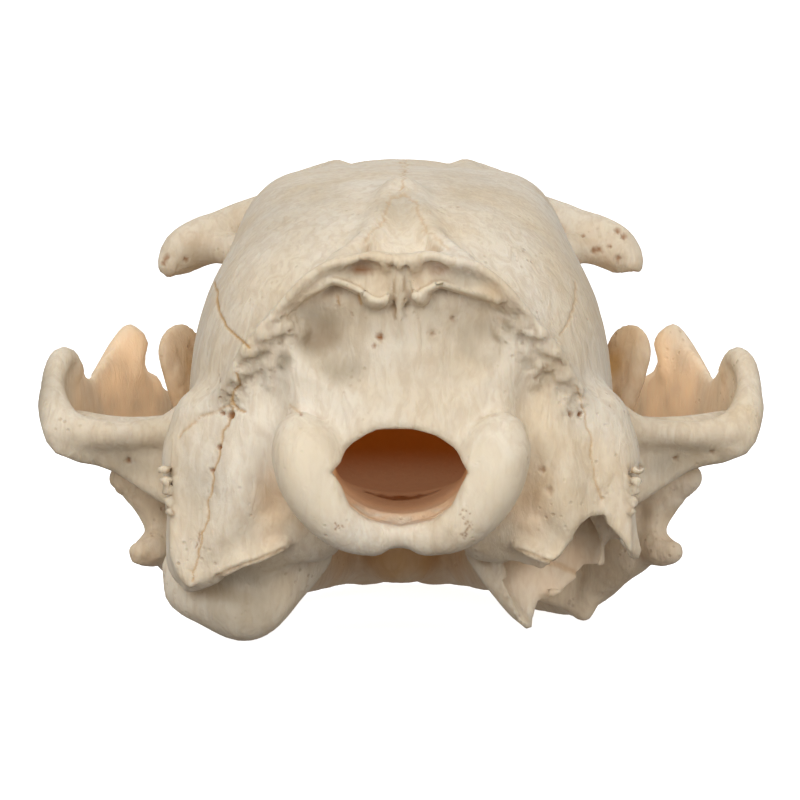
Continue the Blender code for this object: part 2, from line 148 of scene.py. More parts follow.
@dataclass
class Lump(Shape):
    """A rounded lump: an ellipsoid, turned about its own middle."""

    centre: Point
    radii: Point
    turn: Point = (0.0, 0.0, 0.0)

    def __post_init__(self) -> None:
        """Works out the matrix that takes a place into the lump's own axes."""
        self.axes = np.eye(3)
        for axis, degrees in enumerate(self.turn):
            angle = math.radians(degrees)
            one, two = [(1, 2), (2, 0), (0, 1)][axis]
            spin = np.eye(3)
            spin[one, one] = spin[two, two] = math.cos(angle)
            spin[one, two] = -math.sin(angle)
            spin[two, one] = math.sin(angle)
            self.axes = spin @ self.axes

    def bounds(self) -> tuple[Array, Array]:
        """The lowest and highest corner of the lump's box."""
        centre = np.array(self.centre)
        reach = np.sqrt(((self.axes * np.array(self.radii)) ** 2).sum(axis=1))
        return centre - reach, centre + reach

    def distance(self, x: Array, y: Array, z: Array) -> Array:
        """The distance to the lump's surface, close to true near it."""
        offset = (x - self.centre[0], y - self.centre[1], z - self.centre[2])
        near = 0.0
        steep = 0.0
        for axis, radius in enumerate(self.radii):
            turned = sum(float(self.axes[row, axis]) * offset[row] for row in range(3))
            near = near + (turned / radius) ** 2
            steep = steep + (turned / radius ** 2) ** 2
        near = np.sqrt(near)
        return near * (near - 1.0) / np.maximum(np.sqrt(steep), 1e-4)


def spline(knots: Line, pieces: int) -> Array:
    """Points on a smooth line through some knots, with their other values.

    Args:
        knots: The values at each knot: a place and, after it, radii and so on.
        pieces: How many pieces each stretch between two knots is cut into.

    Returns:
        One row for each point on the line.
    """
    rows = np.array(knots, np.float64)
    if len(rows) < 3:
        share = np.linspace(0.0, 1.0, pieces + 1)[:, None]
        return rows[0] * (1.0 - share) + rows[-1] * share
    rows = np.vstack([2.0 * rows[0] - rows[1], rows, 2.0 * rows[-1] - rows[-2]])
    line = []
    for index in range(1, len(rows) - 2):
        a, b, c, d = rows[index - 1 : index + 3]
        for step in range(pieces):
            t = step / pieces
            line.append(
                0.5 * (2.0 * b + (c - a) * t + (2.0 * a - 5.0 * b + 4.0 * c - d) * t ** 2
                       + (3.0 * b - a - 3.0 * c + d) * t ** 3)
            )
    line.append(rows[-2])
    return np.array(line)


@dataclass
class Limb(Shape):
    """A tapered bone along a smooth line: x, y, z and radius at each knot.

    A flat limb is that many times thinner across than it is tall, and its taller
    side follows the direction of up.
    """

    knots: Line
    flat: float = 1.0
    up: Point = (0.0, 0.0, 1.0)
    pieces: int = 5

    def __post_init__(self) -> None:
        """Lays out the line, its radii and the directions across it."""
        line = spline(self.knots, self.pieces)
        self.line = line[:, :3]
        self.tall = np.maximum(line[:, 3], 0.05)
        self.thin = self.tall / self.flat if self.flat > 1.0 else None
        ahead = np.gradient(self.line, axis=0)
        across = np.cross(ahead, np.array(self.up))
        self.across = across / np.maximum(np.linalg.norm(across, axis=1, keepdims=True), 1e-6)

    def bounds(self) -> tuple[Array, Array]:
        """The lowest and highest corner of the limb's box."""
        reach = self.tall[:, None]
        return (self.line - reach).min(axis=0), (self.line + reach).max(axis=0)

    def distance(self, x: Array, y: Array, z: Array) -> Array:
        """The distance to the nearest stretch of the limb."""
        best = None
        for index in range(len(self.line) - 1):
            start, end = self.line[index], self.line[index + 1]
            run = end - start
            length = max(float(run @ run), 1e-9)
            ox, oy, oz = x - start[0], y - start[1], z - start[2]
            share = np.clip((ox * run[0] + oy * run[1] + oz * run[2]) / length, 0.0, 1.0)
            ox, oy, oz = ox - share * run[0], oy - share * run[1], oz - share * run[2]
            tall = self.tall[index] + share * (self.tall[index + 1] - self.tall[index])
            square = ox ** 2 + oy ** 2 + oz ** 2
            if self.thin is None:
                gap = np.sqrt(square) - tall
            else:
                thin = self.thin[index] + share * (self.thin[index + 1] - self.thin[index])
                side = self.across[index] + self.across[index + 1]
                side = side / max(float(np.linalg.norm(side)), 1e-6)
                over = (ox * side[0] + oy * side[1] + oz * side[2]) ** 2
                rest = np.maximum(square - over, 0.0)
                near = np.sqrt(over / thin ** 2 + rest / tall ** 2)
                steep = np.sqrt(over / thin ** 4 + rest / tall ** 4)
                gap = near * (near - 1.0) / np.maximum(steep, 1e-4)
            best = gap if best is None else np.minimum(best, gap)
        return best


@dataclass
class Trunk(Shape):
    """A body through unlike cross-sections standing across the Y axis.

    Each station is y, half width, z low, z of the widest line, z high, and how
    square the section is above and below that line.
    """

    stations: Line

    def __post_init__(self) -> None:
        """Lays a fine smooth table of the stations."""
        self.table = spline(self.stations, 8)

    def bounds(self) -> tuple[Array, Array]:
        """The lowest and highest corner of the trunk's box."""
        table = self.table
        half = table[:, 1].max()
        low = np.array([-half, table[:, 0].min(), table[:, 2].min()])
        high = np.array([half, table[:, 0].max(), table[:, 4].max()])
        return low, high

    def distance(self, x: Array, y: Array, z: Array) -> Array:
        """The distance to the trunk's surface, close to true near it."""
        values = [np.interp(y, self.table[:, 0], self.table[:, col]) for col in range(1, 7)]
        half, low, wide, high, square_top, square_foot = [item.astype(np.float32) for item in values]
        over = z > wide
        reach = np.where(over, high - wide, wide - low)
        power = np.where(over, square_top, square_foot)
        u = np.abs(x) / half + 1e-5
        v = np.abs(z - wide) / reach + 1e-5
        near = (u ** power + v ** power) ** (1.0 / power)
        side = (u / near) ** (power - 1.0) / half
        rise = (v / near) ** (power - 1.0) / reach
        gap = (near - 1.0) / np.sqrt(side ** 2 + rise ** 2)
        ends = np.maximum(self.table[0, 0] - y, y - self.table[-1, 0]).astype(np.float32)
        return -smooth_min(-gap, -ends + 0.0 * gap, 1.5)


@dataclass
class Sheet(Shape):
    """A flat outline in x and z, pushed from one y to another, with softened edges."""

    outline: Line
    near_y: float
    far_y: float
    soft: float = 0.1

    def bounds(self) -> tuple[Array, Array]:
        """The lowest and highest corner of the sheet's box."""
        rim = np.array(self.outline)
        low, high = rim.min(axis=0), rim.max(axis=0)
        return np.array([low[0], self.near_y, low[1]]), np.array([high[0], self.far_y, high[1]])

    def distance(self, x: Array, y: Array, z: Array) -> Array:
        """The distance to the sheet: to its outline, or to its two faces."""
        flat_x, flat_z = x + 0.0 * z, z + 0.0 * x
        best = np.full(np.broadcast(flat_x, flat_z).shape, np.inf)
        inside = np.zeros(best.shape, bool)
        count = len(self.outline)
        for index in range(count):
            ax, az = self.outline[index]
            bx, bz = self.outline[(index + 1) % count]
            ex, ez = bx - ax, bz - az
            ox, oz = flat_x - ax, flat_z - az
            share = np.clip((ox * ex + oz * ez) / (ex * ex + ez * ez + 1e-9), 0.0, 1.0)
            best = np.minimum(best, (ox - share * ex) ** 2 + (oz - share * ez) ** 2)
            cross = ex * oz - ez * ox
            up = (az <= flat_z) & (bz > flat_z) & (cross > 0.0)
            down = (az > flat_z) & (bz <= flat_z) & (cross < 0.0)
            inside ^= up | down
        flat = np.where(inside, -1.0, 1.0) * np.sqrt(best)
        slab = np.maximum(self.near_y - y, y - self.far_y)
        return -smooth_min(-flat, -slab + 0.0 * flat, self.soft)


@dataclass
class BoneField:
    """A block of space that holds the distance to the bone at every step."""

    low: Point
    high: Point
    step: float
    work: list[tuple[Shape, Mode, float]] = field(default_factory=list)

    def __post_init__(self) -> None:
        """Makes the empty block."""
        spans = zip(self.low, self.high)
        self.axes = [np.arange(a, b + self.step, self.step, dtype=np.float32) for a, b in spans]
        self.values = np.full([len(axis) for axis in self.axes], FAR, np.float32)

    def add(self, *shapes: Shape, blend: float = 1.0) -> None:
        """Melts shapes into the bone."""
        for shape in shapes:
            self._apply(shape, Mode.ADD, blend)

    def cut(self, *shapes: Shape, blend: float = 0.6) -> None:
        """Takes shapes out of the bone."""
        for shape in shapes:
            self._apply(shape, Mode.CUT, blend)

    def _apply(self, shape: Shape, mode: Mode, blend: float) -> None:
        """Works one shape into the block and keeps it for reading points later."""
        self.work.append((shape, mode, blend))
        low, high = shape.bounds()
        pad = blend + 2.5 * self.step
        spans = []
        for axis, start, end in zip(self.axes, low - pad, high + pad):
            spans.append(slice(*np.searchsorted(axis, [start, end])))
        if any(span.stop <= span.start for span in spans):
            return
        x, y, z = [axis[span] for axis, span in zip(self.axes, spans)]
        gap = shape.distance(x[:, None, None], y[None, :, None], z[None, None, :])
        block = self.values[tuple(spans)]
        block[...] = merge(block, gap, mode, blend)

    def at(self, points: Array) -> Array:
        """The exact distances at some points, one row each."""
        values = np.full(len(points), FAR, np.float32)
        for shape, mode, blend in self.work:
            low, high = shape.bounds()
            pad = blend + 2.5 * self.step
            near = np.all((points > low - pad) & (points < high + pad), axis=1)
            if near.any():
                x, y, z = points[near].T
                values[near] = merge(values[near], shape.distance(x, y, z), mode, blend)
        return values

    def slope(self, points: Array, reach: float = 0.12) -> tuple[Array, Array]:
        """The distances at some points, and the directions out of the bone there."""
        total = np.zeros((len(points), 3), np.float32)
        middle = np.zeros(len(points), np.float32)
        for corner in ((1, 1, 1), (1, -1, -1), (-1, 1, -1), (-1, -1, 1)):
            way = np.array(corner, np.float32)
            value = self.at(points + way * reach)
            total += value[:, None] * way
            middle += 0.25 * value
        return middle, total / np.maximum(np.linalg.norm(total, axis=1, keepdims=True), 1e-6)


def merge(old: Array, gap: Array, mode: Mode, blend: float) -> Array:
    """The distances after one shape has been added or cut."""
    if mode is Mode.ADD:
        return smooth_min(old, gap, blend).astype(np.float32)
    return -smooth_min(-old, gap, blend).astype(np.float32)


@dataclass
class Skin:
    """A triangle mesh in millimetres that can be made finer and carved."""

    points: Array
    faces: Array

    @classmethod
    def around(cls, bone: BoneField) -> "Skin":
        """The mesh of the bone's surface: one point in each cell that it crosses."""
        values = bone.values
        inside = values < 0.0
        shape = np.array(values.shape) - 1
        corners = [(a, b, c) for a in (0, 1) for b in (0, 1) for c in (0, 1)]

        def view(array: Array, corner: Shade) -> Array:
            """The array seen from one corner of every cell."""
            a, b, c = corner
            return array[a : a + shape[0], b : b + shape[1], c : c + shape[2]]

        count = sum(view(inside, corner).astype(np.int8) for corner in corners)
        active = (count > 0) & (count < 8)
        cells = np.argwhere(active)
        number = np.full(active.shape, -1, np.int64)
        number[active] = np.arange(len(cells))
        held = {corner: view(values, corner)[active] for corner in corners}
        total = np.zeros((len(cells), 3))
        hits = np.zeros(len(cells))
        for corner in corners:
            for axis in range(3):
                if corner[axis]:
                    continue
                other = tuple(1 if index == axis else value for index, value in enumerate(corner))
                a, b = held[corner], held[other]
                crossed = (a < 0.0) != (b < 0.0)
                share = np.where(crossed, a / np.where(crossed, a - b, 1.0), 0.0)
                place = np.tile(np.array(corner, float), (len(cells), 1))
                place[:, axis] += share
                total += np.where(crossed[:, None], place, 0.0)
                hits += crossed
        origin = np.array([axis[0] for axis in bone.axes])
        points = (cells + total / hits[:, None]) * bone.step + origin
        quads = []
        for axis in range(3):
            one, two = [(1, 2), (2, 0), (0, 1)][axis]
            ahead = np.roll(inside, -1, axis=axis)
            change = inside != ahead
            last = [slice(None)] * 3
            last[axis] = slice(-1, None)
            change[tuple(last)] = False
            spots = np.argwhere(change)
            fits = np.all(spots > 0, axis=1) & np.all(spots < shape, axis=1)
            spots = spots[fits]
            ring = []
            for step_one, step_two in ((0, 0), (-1, 0), (-1, -1), (0, -1)):
                cell = spots.copy()
                cell[:, one] += step_one
                cell[:, two] += step_two
                ring.append(number[cell[:, 0], cell[:, 1], cell[:, 2]])
            quad = np.stack(ring, axis=1)
            outward = inside[spots[:, 0], spots[:, 1], spots[:, 2]]
            quad[~outward] = quad[~outward][:, ::-1]
            quads.append(quad)
        quad = np.vstack(quads)
        faces = np.vstack([quad[:, [0, 1, 2]], quad[:, [0, 2, 3]]])
        return cls(points.astype(np.float32), faces)

    def normals(self) -> Array:
        """The direction out of the mesh at each point."""
        a, b, c = [self.points[self.faces[:, corner]] for corner in range(3)]
        flat = np.cross(b - a, c - a)
        total = np.zeros_like(self.points)
        for corner in range(3):
            for axis in range(3):
                total[:, axis] += np.bincount(self.faces[:, corner], flat[:, axis], len(self.points))
        return total / np.maximum(np.linalg.norm(total, axis=1, keepdims=True), 1e-9)

    def main_body(self) -> None:
        """Drops every loose scrap: only the largest connected body stays."""
        label = np.arange(len(self.points))
        while True:
            lowest = label[self.faces].min(axis=1)
            fresh = label.copy()
            for corner in range(3):
                np.minimum.at(fresh, self.faces[:, corner], lowest)
            fresh = fresh[fresh]
            if np.array_equal(fresh, label):
                break
            label = fresh
        biggest = np.bincount(label).argmax()
        self.faces = self.faces[label[self.faces[:, 0]] == biggest]
        self._drop_unused()

    def _drop_unused(self) -> None:
        """Forgets the points that no face uses."""
        used, faces = np.unique(self.faces, return_inverse=True)
        self.points = self.points[used]
        self.faces = faces.reshape(-1, 3)

    def thin(self, target: int, spare: Array) -> None:
        """Merges faces until about a target number is left.

        Args:
            target: How many faces may stay.
            spare: One weight a point, from 0 for fine places to 1 for plain ones.
        """
        if len(self.faces) <= target:
            return
        mesh = plain_mesh("skin_draft", self.points, self.faces)
        draft = bpy.data.objects.new("skin_draft", mesh)
        bpy.context.scene.collection.objects.link(draft)
        group = draft.vertex_groups.new(name="plain")
        steps = np.round(np.clip(spare, 0.0, 1.0) * 10.0).astype(int)
        for step in range(11):
            chosen = np.flatnonzero(steps == step)
            if len(chosen):
                group.add(chosen.tolist(), step / 10.0, "REPLACE")
        merge_faces = draft.modifiers.new("Fewer faces", "DECIMATE")
        merge_faces.ratio = target / len(self.faces)
        merge_faces.vertex_group = "plain"
        merge_faces.vertex_group_factor = 1.0
        merge_faces.use_collapse_triangulate = True
        done = draft.evaluated_get(bpy.context.evaluated_depsgraph_get()).to_mesh()
        points = np.empty(len(done.vertices) * 3, np.float32)
        done.vertices.foreach_get("co", points)
        done.calc_loop_triangles()
        faces = np.empty(len(done.loop_triangles) * 3, np.int32)
        done.loop_triangles.foreach_get("vertices", faces)
        self.points = points.reshape(-1, 3) / MM
        self.faces = faces.reshape(-1, 3).astype(np.int64)
        bpy.data.objects.remove(draft)
        bpy.data.meshes.remove(mesh)

    def settle(self, bone: BoneField, first: int = 0, rounds: int = 2) -> None:
        """Moves the points from one number on onto the bone's exact surface."""
        for _ in range(rounds):
            gap, way = bone.slope(self.points[first:])
            self.points[first:] -= way * np.clip(gap, -0.4, 0.4)[:, None]

    def refine(self, bone: BoneField, reach: Callable[[Array, Array], Array], rounds: int, most: int) -> None:
        """Cuts long edges in two, round by round, and settles what is new.

        Args:
            bone: The field that new points are moved onto.
            reach: The longest edge allowed at some places with some normals.
            rounds: How many times the edges are looked through.
            most: No round starts that could pass this many faces.
        """
        for _ in range(rounds):
            count = len(self.points)
            ends = np.stack([self.faces, np.roll(self.faces, -1, axis=1)], axis=2)
            low, high = ends.min(axis=2), ends.max(axis=2)
            keys, index = np.unique(low * count + high, return_inverse=True)
            index = index.reshape(-1, 3)
            a, b = keys // count, keys % count
            middle = 0.5 * (self.points[a] + self.points[b])
            normal = self.normals()
            length = np.linalg.norm(self.points[a] - self.points[b], axis=1)
            wish = reach(middle, normal[a] + normal[b])
            long = length > wish
            room = (most - len(self.faces)) // 2
            if room <= 0 or not long.any():
                return
            if long.sum() > room:
                excess = np.where(long, length / wish, 0.0)
                long &= excess >= np.sort(excess)[-room]
            fresh = np.full(len(keys), -1, np.int64)
            fresh[long] = count + np.arange(long.sum())
            self.points = np.vstack([self.points, middle[long]]).astype(np.float32)
            self._split(fresh[index])
            self.settle(bone, first=count)

    def _split(self, fresh: Array) -> None:
        """Cuts each face along its edges that hold a new point."""
        marked = fresh >= 0
        number = marked.sum(axis=1)
        faces = [self.faces[number == 0]]
        for wanted in (1, 2, 3):
            rows = number == wanted
            corner, edge, flags = self.faces[rows], fresh[rows], marked[rows]
            if wanted == 1:
                turn = flags.argmax(axis=1)
            elif wanted == 2:
                turn = (~flags).argmax(axis=1) + 1
            else:
                turn = np.zeros(len(corner), np.int64)
            order = (turn[:, None] + np.arange(3)) % 3
            a, b, c = np.take_along_axis(corner, order, axis=1).T
            one, two, three = np.take_along_axis(edge, order, axis=1).T
            if wanted == 1:
                parts = [(a, one, c), (one, b, c)]
            elif wanted == 2:
                parts = [(one, b, two), (a, one, two), (a, two, c)]
            else:
                parts = [(a, one, three), (one, b, two), (three, two, c), (one, two, three)]
            faces += [np.stack(part, axis=1) for part in parts]
        self.faces = np.vstack(faces)


def plain_mesh(name: str, points: Array, faces: Array) -> bpy.types.Mesh:
    """A Blender mesh in metres from triangles in millimetres."""
    mesh = bpy.data.meshes.new(name)
    mesh.vertices.add(len(points))
    mesh.vertices.foreach_set("co", (np.asarray(points, np.float32) * MM).ravel())
    mesh.loops.add(len(faces) * 3)
    mesh.loops.foreach_set("vertex_index", np.asarray(faces, np.int32).ravel())
    mesh.polygons.add(len(faces))
    mesh.polygons.foreach_set("loop_start", np.arange(0, len(faces) * 3, 3, dtype=np.int32))
    mesh.polygons.foreach_set("loop_total", np.full(len(faces), 3, np.int32))
    mesh.update(calc_edges=True)
    return mesh


def flip(knots: Iterable[Knot]) -> list[Knot]:
    """The same knots on the animal's right."""
    return [(-knot[0], *knot[1:]) for knot in knots]


def limbs(knots: Line, up: Point = (0.0, 0.0, 1.0), **settings: object) -> tuple[Limb, Limb]:
    """A limb given for the animal's left, and its twin."""
    return Limb(knots, up=up, **settings), Limb(flip(knots), up=(-up[0], *up[1:]), **settings)


def lumps(centre: Point, radii: Point, turn: Point = (0.0, 0.0, 0.0)) -> tuple[Lump, Lump]:
    """A lump given for the animal's left, and its twin."""
    twin = (turn[0], -turn[1], -turn[2])
    return Lump(centre, radii, turn), Lump(flip([centre])[0], radii, twin)


def sheets(outline: Line, near_y: float, far_y: float, soft: float) -> tuple[Sheet, Sheet]:
    """A sheet given for one side, and its twin."""
    return Sheet(outline, near_y, far_y, soft), Sheet(flip(outline), near_y, far_y, soft)


BACK_Y = -70.0
EYE = (0.0, -970.0, 59.675)
EYE_FALL = 0.035


def seen(points: Array) -> Array:
    """Places as they look from behind, in mm across and up at the skull's back."""
    depth = points[:, 1] - EYE[1]
    scale = (BACK_Y - EYE[1]) / depth
    level = EYE[2] - EYE_FALL * (BACK_Y - EYE[1])
    rise = points[:, 2] - (EYE[2] - EYE_FALL * depth)
    return np.stack([points[:, 0] * scale, level + rise * scale], axis=1)


class Layer(Enum):
    """The masks that the bone's finish reads from the mesh."""

    # Painted shade: hollows and creases darkened by how much bone crowds them.
    HOLLOW_SHADE = "hollow_shade"
    # Cracks and sutures, and in some places painted shade.
    SEAM = "seam_and_shade"
    # Holes and pits, and in some places painted shade.
    PIT_AND_SHADE = "pit"
    # Stained patches, and in some places painted shade: the dips of the back plate, the outer side of the
    # left cheek arch, the underside of the left ear capsule.
    STAIN_AND_SHADE = "stain_and_shade"
    POLISH = "polish"
    # The inside of the braincase: a warm tint and painted light given off as emission, standing in for light
    # through the thin bone.
    INNER_GLOW = "inner"
    # A tan tint that paints warm light and shade in recesses; on the skull it also drives painted light given
    # off as emission.
    TAN = "tan"


@dataclass(frozen=True)
class Mark:
    """A line worked into the bone.

    Its path is in mm as seen from behind, between two places in depth, or it is
    a path in space. A negative depth stands out. Tint says how much of the
    layer's colour it takes, wander how far it strays from its path.
    """

    path: Line
    width: float = 0.16
    depth: float = 0.25
    tint: float = 0.8
    wander: float = 0.12
    near_y: float = -74.0
    far_y: float = -30.0
    layer: Layer = Layer.SEAM
    broken: float = 0.0


@dataclass(frozen=True)
class Pit:
    """A small hole in the bone, placed as it is seen from behind or in space."""

    place: Knot
    radius: float = 0.35
    depth: float = 0.5
    tint: float = 0.9
    near_y: float = -74.0
    far_y: float = -30.0


@dataclass(frozen=True)
class Zone:
    """A rounded part of space where the bone is rough, or takes a colour."""

    centre: Point
    radii: Point
    rough: float = 0.0
    grain: float = 1.0
    tint: float = 0.0
    layer: Layer = Layer.STAIN_AND_SHADE

    def share(self, points: Array) -> Array:
        """How strongly each place belongs: 1 in the middle, 0 at the edge."""
        near = (((points - np.array(self.centre)) / np.array(self.radii)) ** 2).sum(axis=1)
        return smooth_step(1.0, 0.35, np.sqrt(near))


def path_gap(places: Array, path: Line) -> tuple[Array, Array]:
    """The distance from each place to a path, and how far along it that is."""
    line = np.array(path, np.float64)
    best = np.full(len(places), np.inf)
    along = np.zeros(len(places))
    run = 0.0
    for start, end in zip(line[:-1], line[1:]):
        way = end - start
        length = max(float(np.linalg.norm(way)), 1e-6)
        share = np.clip((places - start) @ way / length ** 2, 0.0, 1.0)
        gap = np.linalg.norm(places - start - share[:, None] * way, axis=1)
        closer = gap < best
        best = np.where(closer, gap, best)
        along = np.where(closer, run + share * length, along)
        run += length
    return best, along


@dataclass
class Relief:
    """Works lines, holes and rough ground into a skin and keeps the masks."""

    skin: Skin
    normals: Array
    outside: Array
    stray: Noise = field(default_factory=lambda: Noise(11))

    def __post_init__(self) -> None:
        """Starts with a flat relief and empty masks."""
        self.offset = np.zeros(len(self.skin.points), np.float32)
        self.masks = {layer: np.zeros(len(self.skin.points), np.float32) for layer in Layer}
        self.view = seen(self.skin.points)

    def _near(self, path: Line, reach: float, near_y: float, far_y: float) -> Array:
        """The numbers of the points that a path could touch."""
        line = np.array(path)
        places = self.skin.points if line.shape[1] == 3 else self.view
        low, high = line.min(axis=0) - reach, line.max(axis=0) + reach
        close = self.outside & np.all((places > low) & (places < high), axis=1)
        if line.shape[1] == 2:
            depth = self.skin.points[:, 1]
            close &= (depth > near_y) & (depth < far_y) & (self.normals[:, 1] < 0.25)
        return np.flatnonzero(close)

    def tint(self, layer: Layer, rows: Array, amount: Array) -> None:
        """Raises a mask to an amount where it is lower."""
        self.masks[layer][rows] = np.maximum(self.masks[layer][rows], amount)

    def line(self, mark: Mark) -> None:
        """Cuts or raises one line."""
        reach = 4.0 * mark.width + mark.wander
        rows = self._near(mark.path, reach, mark.near_y, mark.far_y)
        if not len(rows):
            return
        points = self.skin.points[rows]
        flat = len(mark.path[0]) == 2
        places = (self.view[rows] if flat else points).astype(np.float64)
        for axis in range(places.shape[1]):
            places[:, axis] += mark.wander * self.stray.layered(points + 31.7 * axis, 0.9, 2)
        gap, along = path_gap(places, mark.path)
        strength = np.exp(-((gap / mark.width) ** 2))
        if mark.broken:
            gaps = self.stray.at(np.stack([along, along * 0.0, along * 0.0], axis=1) + 5.1, 0.8)
            strength *= 1.0 - mark.broken * smooth_step(-0.1, 0.25, gaps)
        self.offset[rows] -= mark.depth * strength
        self.tint(mark.layer, rows, mark.tint * np.clip(1.3 * strength, 0.0, 1.0))

    def pit(self, pit: Pit) -> None:
        """Sinks one small hole."""
        rows = self._near((pit.place,), 2.0 * pit.radius, pit.near_y, pit.far_y)
        flat = len(pit.place) == 2
        places = self.view[rows] if flat else self.skin.points[rows]
        gap = np.linalg.norm(places - np.array(pit.place), axis=1) / pit.radius
        strength = smooth_step(1.25, 0.5, gap)
        self.offset[rows] -= 0.7 * pit.depth * strength
        self.tint(Layer.PIT_AND_SHADE, rows, pit.tint * strength)

    def zone(self, zone: Zone) -> None:
        """Roughens or colours one part of space."""
        share = np.where(self.outside, zone.share(self.skin.points), 0.0)
        rows = np.flatnonzero(share > 0.0)
        points, share = self.skin.points[rows], share[rows]
        if zone.rough:
            bumps = self.stray.layered(points + 3.3, zone.grain, 3)
            holes = self.stray.at(points * 1.7 + 9.1, zone.grain * 0.7)
            sunk = smooth_step(0.4, 0.8, holes)
            self.offset[rows] += zone.rough * share * (0.9 * bumps - 0.8 * sunk)
            self.tint(Layer.PIT_AND_SHADE, rows, 0.35 * share * sunk * min(1.0, zone.rough * 2.0))
        if zone.tint:
            patch = 0.75 + 0.35 * self.stray.layered(points + 50.0, 3.0, 2)
            self.tint(zone.layer, rows, np.clip(zone.tint * share * patch, 0.0, 1.0))

    def paint_hollow_shade(self, bone: BoneField, reaches: Sequence[float]) -> None:
        """Paints shade into hollows and creases: marks how much other bone crowds each place, and the finish
        darkens that much.
        """
        total = np.zeros(len(self.offset), np.float32)
        for reach in reaches:
            open_air = bone.at(self.skin.points + self.normals * reach)
            total += np.clip(1.0 - open_air / reach, 0.0, 1.0)
        self.masks[Layer.HOLLOW_SHADE] = (total / len(reaches)).astype(np.float32)

    def apply(self) -> None:
        """Moves the skin's points by the relief."""
        self.skin.points += self.normals * self.offset[:, None]


def dressed_piece(name: str, skin: Skin, masks: dict[Layer, Array],
                  material: bpy.types.Material) -> bpy.types.Object:
    """A smooth Blender object from a skin, with its masks and its finish."""
    mesh = plain_mesh(name, skin.points, skin.faces)
    for layer, values in masks.items():
        mask = mesh.attributes.new(layer.value, "FLOAT", "POINT")
        mask.data.foreach_set("value", values.astype(np.float32))
    mesh.polygons.foreach_set("use_smooth", np.ones(len(mesh.polygons), bool))
    mesh.materials.append(material)
    piece = bpy.data.objects.new(name, mesh)
    bpy.context.scene.collection.objects.link(piece)
    return piece


